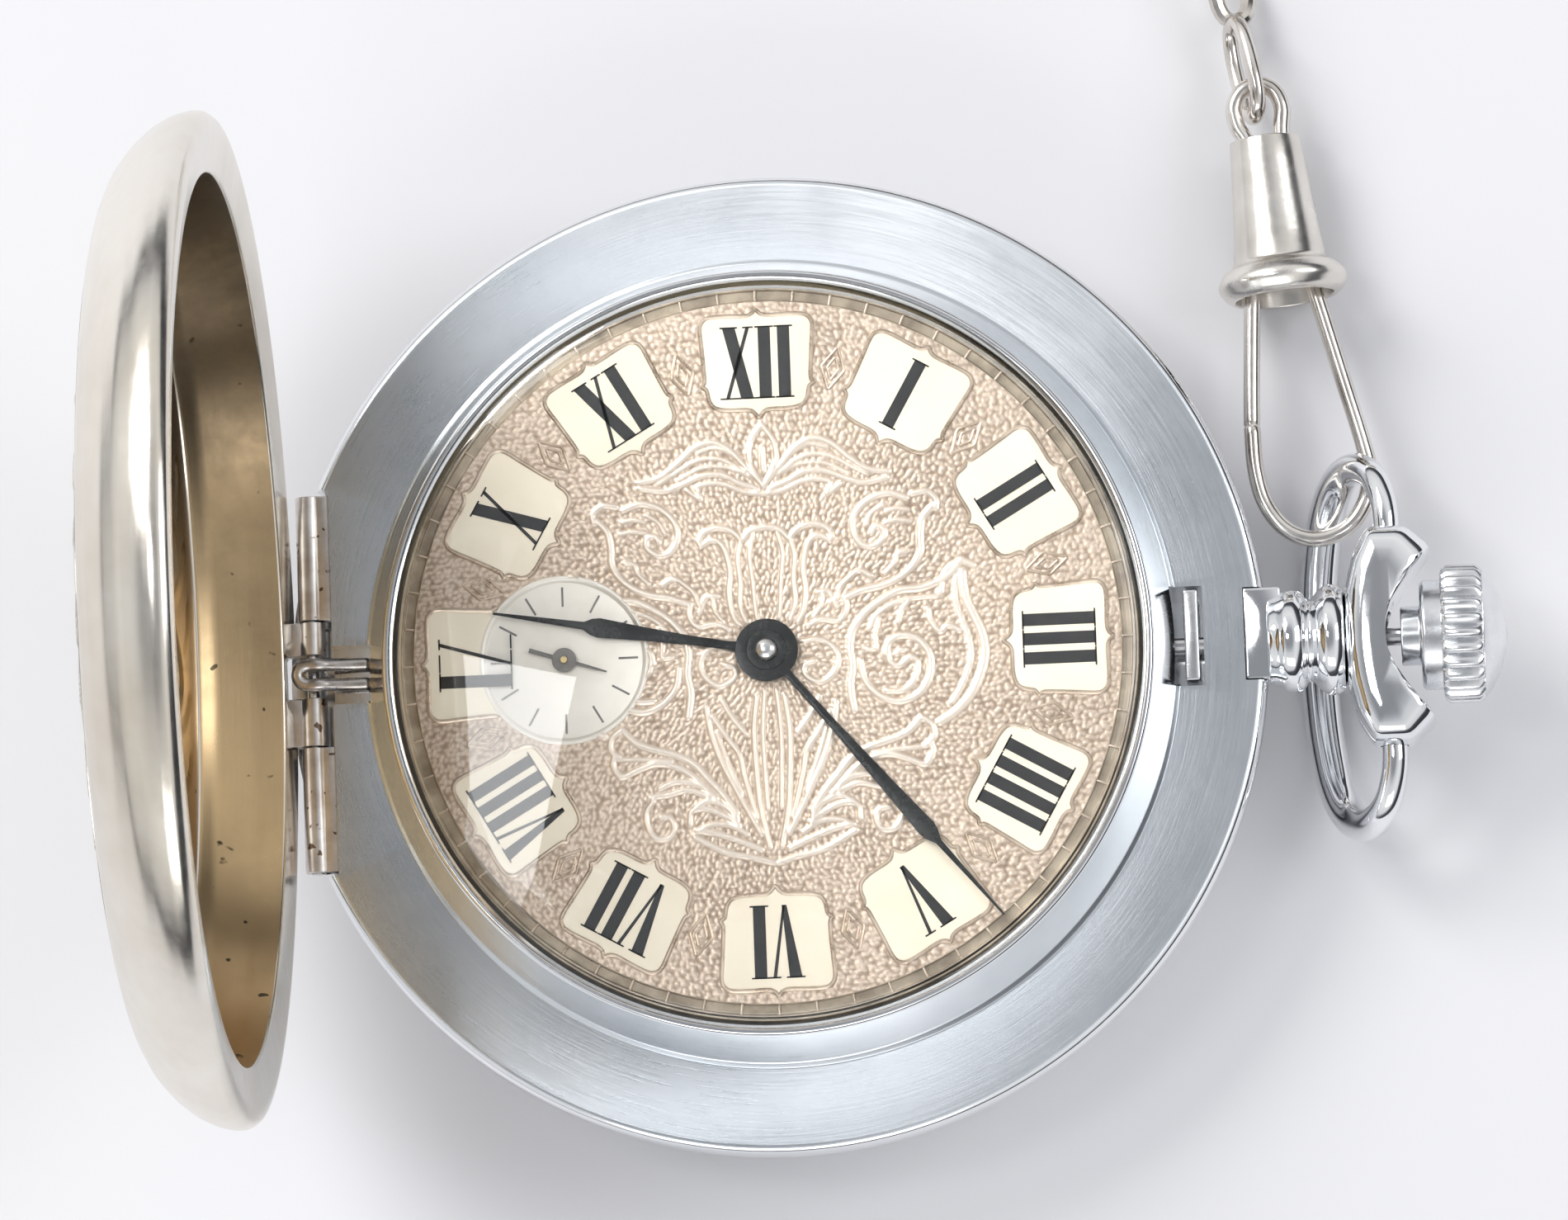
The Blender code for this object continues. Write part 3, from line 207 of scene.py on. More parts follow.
def paint(name, light, dark, roughness, coat=0.0, cloud=220.0, bump=0.08, grain=3000.0, spread=0.06):
    """Enamel, print or paper: no metal, and a clear coat where asked for."""
    made, tree, shader, place = start_material(name)
    clouds = noise(tree, place, cloud, 5.0, 0.6)
    colour = ramp(tree, clouds, [(CLOUD_LOW, dark), (CLOUD_HIGH, light)])
    colour_and_gloss(tree, shader, colour, clouds, roughness - spread, roughness + spread)
    shader.inputs["Coat Weight"].default_value = coat
    shader.inputs["Coat Roughness"].default_value = 0.08
    bump_by(tree, shader, noise(tree, place, grain, 3.0, 0.5), bump)
    return made


def lid_inside_material():
    """Gilt with painted shade that turns it from gold to dark olive along Y, and dark specks and straight brush
    lines.
    """
    made, tree, shader, place = start_material("lid_inside_gilt_and_shade")
    parts = node(tree, "ShaderNodeSeparateXYZ", {0: place})
    # Painted shade: the colour runs from gold to near black along Y.
    height = node(tree, "ShaderNodeMapRange", {
        "Value": parts.outputs[1], "From Min": -0.022, "From Max": 0.022,
        "To Min": 0.0, "To Max": 1.0}).outputs[0]
    clouds = noise(tree, place, 140.0, 6.0, 0.65)
    mixed = maths(tree, "ADD", height, maths(tree, "MULTIPLY", maths(tree, "SUBTRACT", clouds, 0.5), 0.6))
    colour = ramp(tree, mixed, [(0.0, (0.70, 0.50, 0.27)), (0.45, (0.55, 0.40, 0.225)),
                                (0.8, (0.26, 0.195, 0.12)), (1.0, (0.13, 0.105, 0.07))])
    colour = specked(tree, place, colour, 900.0, 0.70, (0.10, 0.08, 0.05))
    colour_and_gloss(tree, shader, colour, clouds, 0.26, 0.42)
    shader.inputs["Metallic"].default_value = 1.0
    streaks = node(tree, "ShaderNodeMapping", {"Vector": place, "Scale": (4200.0, 300.0, 300.0)}).outputs[0]
    bump_by(tree, shader, noise(tree, streaks, 1.0, 4.0, 0.6), 0.22)
    return made


def glass_material():
    """Thin domed crystal that lets the lamps through."""
    made, tree, shader, place = start_material("crystal_glass")
    surface = shader.outputs[0].links[0].to_socket
    shader.inputs["Transmission Weight"].default_value = 1.0
    shader.inputs["Base Color"].default_value = (0.985, 0.99, 0.985, 1.0)
    shader.inputs["IOR"].default_value = 1.38
    smears = noise(tree, place, 60.0, 5.0, 0.6)
    tree.links.new(span(tree, smears, 0.0, 0.018), shader.inputs["Roughness"])
    clear = node(tree, "ShaderNodeBsdfTransparent", {"Color": (0.95, 0.955, 0.95, 1.0)})
    ray = node(tree, "ShaderNodeLightPath")
    mixed = node(tree, "ShaderNodeMixShader", {
        0: ray.outputs["Is Shadow Ray"], 1: shader.outputs[0], 2: clear.outputs[0]})
    tree.links.new(mixed.outputs[0], surface)
    return made


POLISHED = metal("polished_steel", (0.86, 0.87, 0.885), (0.74, 0.76, 0.78), 0.13, cloud=60.0, bump=0.07)
BEZEL = metal("bezel_steel", (0.87, 0.88, 0.89), (0.76, 0.78, 0.80), 0.12, cloud=70.0, bump=0.10,
              turned=(5000.0, 4.0))
RIM = rim_material()
LID_NICKEL = metal("lid_nickel", (0.84, 0.80, 0.73), (0.68, 0.62, 0.53), 0.20, cloud=80.0, bump=0.16,
                   stretch=(700.0, 60.0, 700.0), grain=3.0)
LID_INSIDE = lid_inside_material()
HINGE = metal("hinge_nickel", (0.78, 0.755, 0.73), (0.50, 0.44, 0.40), 0.34, cloud=420.0, bump=0.35,
              grain=1800.0, specks=(1500.0, 0.66, (0.16, 0.11, 0.08)))
CHROME = metal("chrome", (0.90, 0.91, 0.925), (0.82, 0.835, 0.855), 0.07, cloud=120.0, bump=0.03, spread=0.03)
CROWN = metal("crown_satin", (0.84, 0.85, 0.865), (0.70, 0.715, 0.735), 0.25, cloud=240.0, bump=0.2)
CLASP = metal("clasp_nickel", (0.82, 0.785, 0.74), (0.60, 0.55, 0.50), 0.19, cloud=240.0, bump=0.12)
SLEEVE = metal("sleeve_nickel", (0.83, 0.80, 0.75), (0.66, 0.62, 0.57), 0.24, cloud=200.0, bump=0.45,
               grain=1500.0)
STEEL = metal("movement_steel", (0.74, 0.74, 0.75), (0.55, 0.55, 0.57), 0.24, cloud=160.0)
TARNISHED = metal("spring_steel", (0.62, 0.59, 0.56), (0.34, 0.30, 0.27), 0.28, cloud=350.0, bump=0.2)
BRASS = metal("brass", (0.83, 0.66, 0.36), (0.62, 0.46, 0.22), 0.27, cloud=140.0)
GILT = metal("gilt_plate", (0.84, 0.70, 0.43), (0.68, 0.52, 0.28), 0.33, cloud=120.0, bump=0.3, grain=5000.0)
DIAL = dial_material()
SUB_DIAL = metal("sub_dial_frosted", (0.80, 0.76, 0.70), (0.68, 0.64, 0.58), 0.42, cloud=260.0, bump=0.3,
                 grain=5200.0, metallic=0.45)
RAISED = metal("dial_raised_lines", (0.66, 0.55, 0.45), (0.42, 0.33, 0.25), 0.30, cloud=700.0, bump=0.2,
               grain=4000.0, metallic=0.8)
TRACK = metal("track_channel", (0.44, 0.37, 0.285), (0.20, 0.16, 0.12), 0.40, cloud=500.0, bump=0.2,
              metallic=0.8)
ENAMEL = paint("cream_enamel", (0.86, 0.78, 0.64), (0.80, 0.715, 0.57), 0.34, coat=0.15)
NUMERAL = paint("black_print", (0.016, 0.016, 0.017), (0.008, 0.008, 0.009), 0.42, cloud=900.0)
GREY_PRINT = paint("grey_print", (0.22, 0.21, 0.20), (0.12, 0.115, 0.11), 0.45, cloud=900.0)
HAND = metal("hand_black", (0.034, 0.036, 0.036), (0.012, 0.013, 0.013), 0.26, cloud=300.0, bump=0.12,
             metallic=0.4)
GLASS = glass_material()
FLOOR = paint("floor_paper", (0.76, 0.76, 0.78), (0.745, 0.745, 0.77), 0.62, cloud=12.0, bump=0.04,
              grain=400.0)


# ---- mesh helpers -----------------------------------------------------------

ON_AXIS = 1e-6                      # a smaller radius counts as the axis itself

def smooth_path(knots, per_span, closed=False):
    """Catmull-Rom points through the knots."""
    pts = np.asarray(knots, float)
    if closed:
        ext = np.vstack([pts[-1], pts, pts[0], pts[1]])
    else:
        ext = np.vstack([2.0 * pts[0] - pts[1], pts, 2.0 * pts[-1] - pts[-2]])
    out = []
    for i in range(len(ext) - 3):
        p0, p1, p2, p3 = ext[i:i + 4]
        for j in range(per_span):
            t = j / per_span
            out.append(0.5 * (2.0 * p1 + (p2 - p0) * t + (2.0 * p0 - 5.0 * p1 + 4.0 * p2 - p3) * t * t
                              + (3.0 * p1 - p0 - 3.0 * p2 + p3) * t ** 3))
    if not closed:
        out.append(pts[-1])
    return np.array(out)


def rounded(points, radius, bits=3, closed=True):
    """The profile (r, z) with each corner off the axis turned into a short curve."""
    pts = [np.asarray(p, float) for p in points]
    out = []
    for i, p in enumerate(pts):
        if not closed and i in (0, len(pts) - 1):
            out.append(tuple(p))
            continue
        if p[0] < ON_AXIS:
            out.append(tuple(p))
            continue
        a, b = pts[i - 1] - p, pts[(i + 1) % len(pts)] - p
        la, lb = np.linalg.norm(a), np.linalg.norm(b)
        reach = min(radius, 0.4 * la, 0.4 * lb)
        start, end = p + a / la * reach, p + b / lb * reach
        for k in range(bits + 1):
            t = k / bits
            out.append(tuple((1 - t) ** 2 * start + 2 * t * (1 - t) * p + t * t * end))
    return out


class Shape:
    """Points in millimetres and faces, gathered into one mesh."""

    def __init__(self):
        self.points = []
        self.faces = []

    def add(self, points, faces):
        base = len(self.points)
        self.points.extend(tuple(float(c) for c in p) for p in points)
        self.faces.extend(tuple(base + i for i in f) for f in faces)
        return self

    def moved(self, matrix):
        self.points = [tuple(matrix @ Vector(p)) for p in self.points]
        return self


def lathe_parts(profile, steps, closed=True):
    """Points and faces of a profile (r, z) turned about Z."""
    points, rows = [], []
    for r, z in profile:
        if r < ON_AXIS:
            rows.append([len(points)] * steps)
            points.append((0.0, 0.0, z))
        else:
            rows.append(list(range(len(points), len(points) + steps)))
            turns = [TAU * k / steps for k in range(steps)]
            points.extend((r * math.cos(a), r * math.sin(a), z) for a in turns)
    faces = []
    count = len(rows) if closed else len(rows) - 1
    for i in range(count):
        low, high = rows[i], rows[(i + 1) % len(rows)]
        for k in range(steps):
            n = (k + 1) % steps
            face = []
            for index in (low[k], low[n], high[n], high[k]):
                if index not in face:
                    face.append(index)
            if len(face) > 2:
                faces.append(tuple(face))
    return points, faces


def lathed(profile, ease, steps, closed=True, bits=3):
    """Points and faces of a profile with eased corners, turned about Z."""
    return lathe_parts(rounded(profile, ease, bits, closed), steps, closed)


def cylinder_parts(radius, low, high, steps):
    return lathe_parts([(0.0, low), (radius, low), (radius, high), (0.0, high)], steps, closed=False)


def turned_by(matrix, parts):
    points, faces = parts
    return [tuple(matrix @ Vector(p)) for p in points], faces


def tube_parts(path, radius, sides=16, closed=False):
    """Points and faces of a round wire along a path, with domed ends where it is open."""
    path = np.asarray(path, float)
    count = len(path)
    radii = np.broadcast_to(np.asarray(radius, float), (count,)).copy()
    if closed:
        tangents = np.roll(path, -1, 0) - np.roll(path, 1, 0)
    else:
        tangents = np.gradient(path, axis=0)
    tangents /= np.linalg.norm(tangents, axis=1)[:, None]
    side = np.cross(tangents[0], (0.0, 0.0, 1.0))
    if np.linalg.norm(side) < 0.2:
        side = np.cross(tangents[0], (0.0, 1.0, 0.0))
    side /= np.linalg.norm(side)
    frames = []
    for t in tangents:
        side = side - t * side.dot(t)
        side /= np.linalg.norm(side)
        frames.append((side, np.cross(t, side)))
    spots, rows = [], []
    stations = [(path[i], radii[i], frames[i]) for i in range(count)]
    if not closed:
        for end, sign in ((0, -1.0), (-1, 1.0)):
            p, r, f = stations[end]
            caps = [(p + sign * tangents[end] * r * 0.5 * math.sin(a), r * math.cos(a), f)
                    for a in (0.6, 1.1, 1.5)]
            stations = list(reversed(caps)) + stations if end == 0 else stations + caps
    turns = [TAU * k / sides for k in range(sides)]
    for p, r, (u, v) in stations:
        rows.append(range(len(spots), len(spots) + sides))
        spots.extend(p + r * (math.cos(a) * u + math.sin(a) * v) for a in turns)
    faces = []
    shift = 0
    if closed:
        last_u, first_u, first_v = frames[-1][0], frames[0][0], frames[0][1]
        shift = int(round(math.atan2(last_u.dot(first_v), last_u.dot(first_u)) / TAU * sides))
    for i in range(len(rows) if closed else len(rows) - 1):
        wrap = shift if closed and i == len(rows) - 1 else 0
        low, high = rows[i], rows[(i + 1) % len(rows)]
        for k in range(sides):
            n = (k + 1) % sides
            faces.append((low[k], low[n], high[(n + wrap) % sides], high[(k + wrap) % sides]))
    if not closed:
        faces.append(tuple(reversed(rows[0])))
        faces.append(tuple(rows[-1]))
    return spots, faces


def stack_parts(rings):
    """Points and faces of closed outlines laid one on the other, capped at both ends."""
    points, faces = [], []
    size = len(rings[0])
    for ring in rings:
        points.extend(ring)
    for i in range(len(rings) - 1):
        for k in range(size):
            n = (k + 1) % size
            faces.append((i * size + k, i * size + n, (i + 1) * size + n, (i + 1) * size + k))
    faces.append(tuple(reversed(range(size))))
    faces.append(tuple(range((len(rings) - 1) * size, len(rings) * size)))
    return points, faces


def box_parts(low, high, ease=0.08):
    """A block with eased edges."""
    x0, y0, z0 = low
    x1, y1, z1 = high
    rings = []
    for z, inset in ((z0, ease), (z0 + ease * 0.3, ease * 0.3), (z0 + ease, 0.0), (z1 - ease, 0.0),
                     (z1 - ease * 0.3, ease * 0.3), (z1, ease)):
        corners = [(x0 + inset, y0 + inset), (x1 - inset, y0 + inset),
                   (x1 - inset, y1 - inset), (x0 + inset, y1 - inset)]
        rings.append([(x, y, z) for x, y in ease_corners(corners, ease)])
    return stack_parts(rings)


def ease_corners(corners, ease):
    """A closed flat outline with each corner turned into a short curve of three points."""
    out = []
    for i, (x, y) in enumerate(corners):
        px, py = corners[i - 1]
        nx, ny = corners[(i + 1) % len(corners)]
        a, b = Vector((px - x, py - y)), Vector((nx - x, ny - y))
        reach = min(ease, 0.4 * a.length, 0.4 * b.length)
        a, b = a.normalized() * reach, b.normalized() * reach
        for t in (0.0, 0.5, 1.0):
            out.append((x + (1 - t) ** 2 * a.x + t * t * b.x, y + (1 - t) ** 2 * a.y + t * t * b.y))
    return out


def along_x(z=STEM_Z):
    """Turns a shape made about Z so that its axis is X at the stem's height."""
    turn = Matrix(((0, 0, 1, 0), (1, 0, 0, 0), (0, 1, 0, 0), (0, 0, 0, 1)))
    return Matrix.Translation((0.0, 0.0, z)) @ turn


def new_object(name, points, faces):
    """An object from points in millimetres, linked into the scene."""
    mesh = bpy.data.meshes.new(name)
    mesh.from_pydata([(x * MM, y * MM, z * MM) for x, y, z in points], [], faces)
    mesh.validate()
    mesh.update()
    obj = bpy.data.objects.new(name, mesh)
    bpy.context.scene.collection.objects.link(obj)
    return obj


def piece(name, shape, material, body, nodes=(), sharp=32.0):
    """One finished object from a Shape, riding on a body and standing for CAD nodes."""
    obj = new_object(name, shape.points, shape.faces)
    obj.data.materials.append(material)
    finish_piece(obj, sharp)
    if body:
        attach(obj, body)
    if nodes:
        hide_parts(*nodes)
    return obj


def finish_piece(obj, sharp=32.0):
    """Outward normals, smooth shading and sharp edges by angle."""
    bm = bmesh.new()
    bm.from_mesh(obj.data)
    bmesh.ops.recalc_face_normals(bm, faces=bm.faces)
    bm.to_mesh(obj.data)
    bm.free()
    shade_smooth(obj, sharp)
    obj.data.update()


def shade_smooth(obj, sharp):
    obj.data.polygons.foreach_set("use_smooth", [True] * len(obj.data.polygons))
    obj.data.set_sharp_from_angle(angle=math.radians(sharp))


def carve(obj, parts, sharp=32.0):
    """Cuts a closed solid out of the object and applies it."""
    cutter = new_object("cutter", *parts)
    finish_piece(cutter)
    change = obj.modifiers.new("cut", "BOOLEAN")
    change.operation = "DIFFERENCE"
    change.solver = "EXACT"
    change.object = cutter
    bpy.context.view_layer.update()
    result = bpy.data.meshes.new_from_object(obj.evaluated_get(bpy.context.evaluated_depsgraph_get()))
    obj.modifiers.clear()
    old = obj.data
    obj.data = result
    bpy.data.meshes.remove(old)
    bpy.data.objects.remove(cutter)
    shade_smooth(obj, sharp)


def block(x0, x1, y0, y1, z0, z1):
    """A plain box, mostly to cut with."""
    return stack_parts([[(x0, y0, z), (x1, y0, z), (x1, y1, z), (x0, y1, z)] for z in (z0, z1)])


def turned_solid(name, profile, material, body, nodes, ease, steps=ROUND_STEPS, matrix=None):
    """A finished piece turned from one profile (r, z)."""
    shape = Shape().add(*lathed(profile, ease, steps))
    if matrix:
        shape.moved(matrix)
    return piece(name, shape, material, body, nodes)


# ---- camera, light and floor ------------------------------------------------

# Fitted to the photo: lens and sensor in millimetres, the rest in metres.
LENS, SENSOR = 270.7, 36.0
CAMERA_PLACE = (0.040039, -0.086462, 0.600892)
CAMERA_RIGHT = (0.996833, -0.03481, -0.071497)
CAMERA_UP = (0.044963, 0.988305, 0.145709)
CAMERA_BACK = (0.065589, -0.148462, 0.986741)
FLOOR_HALF, FLOOR_THICK = 900.0, 4.0
SKY_STRENGTH = 0.86
SKY_TILT = -0.28                    # how much the bright part of the sky leans to -X
SKY = [(0.0, (0.05, 0.052, 0.06)), (0.2, (0.10, 0.105, 0.12)), (0.31, (0.80, 0.81, 0.83)),
       (0.6, (1.0, 1.0, 1.0)), (0.86, (0.78, 0.79, 0.81)), (0.965, (0.42, 0.43, 0.45)),
       (1.0, (0.34, 0.35, 0.37))]
LAMPS = (                           # name, place, width and height, watts, colour
    ("key", (-0.35, 0.34, 0.50), (0.30, 0.30), 2.3, (1.0, 0.985, 0.965)),
    ("fill", (0.52, 0.10, 0.48), (0.34, 0.34), 1.1, (0.96, 0.98, 1.0)),
    ("front", (-0.05, -0.60, 0.42), (0.50, 0.22), 1.0, (1.0, 1.0, 1.0)),
    ("window", (-0.205, 0.05, 0.62), (0.11, 0.16), 0.35, (0.97, 0.985, 1.0)),
)


def make_stage():
    """Camera, floor, sky and lamps."""
    data = bpy.data.cameras.new("camera")
    data.lens = LENS
    data.sensor_width = SENSOR
    data.clip_start = 0.01
    camera = bpy.data.objects.new("camera", data)
    turn = Matrix((CAMERA_RIGHT, CAMERA_UP, CAMERA_BACK)).transposed().to_4x4()
    camera.matrix_world = Matrix.Translation(CAMERA_PLACE) @ turn
    bpy.context.scene.collection.objects.link(camera)
    bpy.context.scene.camera = camera

    shape = Shape().add(*block(-FLOOR_HALF, FLOOR_HALF, -FLOOR_HALF, FLOOR_HALF, -FLOOR_THICK, 0.0))
    floor = piece("floor", shape, FLOOR, None)

    bpy.context.scene.view_settings.view_transform = "Standard"
    world = bpy.data.worlds.new("studio")
    bpy.context.scene.world = world
    world.use_nodes = True
    tree = world.node_tree
    tree.nodes.clear()
    way = node(tree, "ShaderNodeTexCoord").outputs["Generated"]
    parts = node(tree, "ShaderNodeSeparateXYZ", {0: way})
    slant = maths(tree, "ADD", parts.outputs[2], maths(tree, "MULTIPLY", parts.outputs[0], SKY_TILT))
    sky = node(tree, "ShaderNodeBackground", {"Color": ramp(tree, slant, SKY), "Strength": SKY_STRENGTH})
    node(tree, "ShaderNodeOutputWorld", {"Surface": sky.outputs[0]})

    for name, spot, (wide, tall), power, colour in LAMPS:
        lamp = bpy.data.lights.new(name, "AREA")
        lamp.shape = "RECTANGLE"
        lamp.size = wide
        lamp.size_y = tall
        lamp.energy = power
        lamp.color = colour
        obj = bpy.data.objects.new(name, lamp)
        obj.location = spot
        obj.rotation_euler = (-Vector(spot)).to_track_quat("-Z", "Y").to_euler()
        bpy.context.scene.collection.objects.link(obj)


# ---- chain ------------------------------------------------------------------

COIL_X, COIL_Y = 22.0, 59.5         # middle of the coil
COIL_START = -84.5                  # degrees, where the run meets the coil
LINK_PITCH = 3.85
FIRST_LINK = 1.6                    # from the path's start to the first link's middle


def path_length(points):
    return float(np.linalg.norm(np.diff(points, axis=0), axis=1).sum())


def drawn_out(value, power):
    """A sine or cosine nearer to its ends, so that an ellipse becomes a fuller oval."""
    return math.copysign(abs(value) ** power, value)


def chain_path():
    """Points of the chain's line: out of the end link, off the picture, then round the coil to the T-bar."""
    run = smooth_path([(24.45, 34.15, 1.95), (24.4, 35.6, 1.8), (24.1, 37.4, 1.6), (23.9, 39.8, 1.6)], 6)

    def whole(last_turn):
        """The path whose inner turn is that many degrees long; knots are (degrees, radius, height)."""
        knots = np.array([
            (0.0, 19.75, 1.6), (60.0, 17.6, 1.55), (325.0, 17.6, 1.55), (385.0, 16.0, 4.45),
            (690.0, 16.0, 4.45), (750.0, 14.4, 1.6), (750.0 + last_turn, 14.3, 1.6),
            (850.0 + last_turn, 6.0, 1.6), (900.0 + last_turn, 2.2, 1.6)])
        angles = np.arange(2.0, knots[-1][0], 4.0)
        radius = np.interp(angles, knots[:, 0], knots[:, 1])
        level = np.interp(angles, knots[:, 0], knots[:, 2])
        around = np.radians(COIL_START - angles)
        coil = np.column_stack([COIL_X + radius * np.cos(around), COIL_Y + radius * np.sin(around), level])
        return np.vstack([run, coil])

    return min((whole(turn) for turn in range(60, 330, 3)), key=lambda p: abs(path_length(p) - CHAIN_LENGTH))


def place_on(path, distance):
    """Point and direction at a distance along a path."""
    steps = np.linalg.norm(np.diff(path, axis=0), axis=1)
    total = np.concatenate([[0.0], np.cumsum(steps)])
    i = min(int(np.searchsorted(total, distance, "right")) - 1, len(steps) - 1)
    t = (distance - total[i]) / steps[i]
    return path[i] + t * (path[i + 1] - path[i]), (path[i + 1] - path[i]) / steps[i]


def curb_link(shape, centre, direction, half_long=2.45, half_wide=0.98, wire=0.42, tilt=45.0, twist=38.0,
              bits=28):
    """One oval link, tilted about the chain's line and twisted so that it lies in its neighbours."""
    d = Vector(direction).normalized()
    side = Vector((0.0, 0.0, 1.0)).cross(d).normalized()
    up = d.cross(side)
    path = []
    for k in range(bits):
        a = TAU * k / bits
        x = half_long * drawn_out(math.cos(a), 0.85)
        y = half_wide * drawn_out(math.sin(a), 0.8)
        roll = math.radians(tilt + twist * x / half_long)
        path.append(Vector(centre) + d * x + side * (y * math.cos(roll)) + up * (y * math.sin(roll)))
    shape.add(*tube_parts(path, wire, 10, closed=True))


def make_chain():
    """The run of links with its coil, the T-bar at its end, and the link that joins it to the clasp."""
    path = chain_path()
    shape = Shape()
    for i in range(int(path_length(path) / LINK_PITCH)):
        curb_link(shape, *place_on(path, FIRST_LINK + i * LINK_PITCH))
    chain = piece("chain", shape, CLASP, "clasp", ("chain_run", "chain_coil"))

    half = [(0.0, -8.6), (0.9, -8.4), (1.35, -7.7), (1.2, -7.0), (0.8, -6.6), (0.72, -3.0), (0.86, -1.2)]
    profile = half + [(r, -z) for r, z in reversed(half)]
    bar = Shape().add(*lathed(profile, 0.3, 40, closed=False))
    bar.moved(Matrix.Translation((COIL_X, 57.5, 0.0)) @ along_x(1.5))
    ring = [(COIL_X, 59.4 + 1.35 * math.cos(a), 1.6 + 1.05 * math.sin(a))
            for a in np.linspace(0, TAU, 33)[:-1]]
    bar.add(*tube_parts(ring, 0.36, 12, closed=True))
    t_bar = piece("t_bar", bar, CLASP, "clasp", ("chain_t_bar",))

    link = Shape()
    along, wide = Vector((-0.2, 1.0, -0.16)).normalized(), Vector((0.3, 0.22, 1.0)).normalized()
    middle = Vector((25.05, 30.6, 2.9))
    oval = [middle + along * (2.6 * drawn_out(math.cos(a), 0.85)) + wide * (1.4 * drawn_out(math.sin(a), 0.8))
            for a in np.linspace(0, TAU, 49)[:-1]]
    link.add(*tube_parts(oval, 0.4, 16, closed=True))
    piece("end_link", link, CLASP, "clasp", ("chain_end_link",))


def make_clasp():
    """The bent wire that snaps over the bow, and the sleeve that slides along it."""
    flat = [(24.71, 11.95), (24.78, 14.0), (24.94, 17.5), (25.1, 20.5), (25.2, 24.0), (25.12, 26.4),
            (24.6, 27.5), (24.45, 28.5), (24.9, 29.35), (25.75, 29.68), (26.55, 29.3), (26.92, 28.4),
            (26.85, 27.3), (26.9, 26.0), (27.2, 23.0), (27.85, 20.2), (28.6, 17.4), (29.5, 14.0),
            (30.35, 10.8), (30.62, 9.2), (30.3, 7.6), (29.3, 6.35), (27.8, 5.87), (26.3, 6.4),
            (25.25, 7.8), (24.8, 9.6), (24.71, 11.75)]
    wire = Shape().add(*tube_parts(smooth_path([(x, y, CLASP_Z) for x, y in flat], 7), 0.43, 18))
    piece("clasp_hook", wire, CLASP, "clasp", ("clasp_wire",))

    top, mouth = Vector((25.98, 26.75, CLASP_Z)), Vector((26.68, 18.45, CLASP_Z))
    along = mouth - top
    length = along.length
    profile = [(1.83, 0.0), (1.93, 1.5), (2.05, 3.0), (2.26, length - 3.0), (2.42, length - 1.9),
               (2.62, length - 1.7), (2.95, length - 1.55), (3.3, length - 1.05), (3.34, length - 0.7),
               (3.05, length - 0.2), (2.75, length), (2.55, length), (2.35, length - 1.5), (1.95, 3.2),
               (1.66, 0.0)]
    turn = Matrix.Translation(top) @ along.to_track_quat("Z", "Y").to_matrix().to_4x4()
    turned_solid("clasp_cover", profile, SLEEVE, "clasp_slider", ("clasp_sleeve",), 0.22, 96, turn)


# ---- case -------------------------------------------------------------------

CRYSTAL_R = 19.18
CRYSTAL_TOP, CRYSTAL_UNDER = 14.2, 13.9     # outer and inner crown of the glass
CRYSTAL_SAG = 0.83


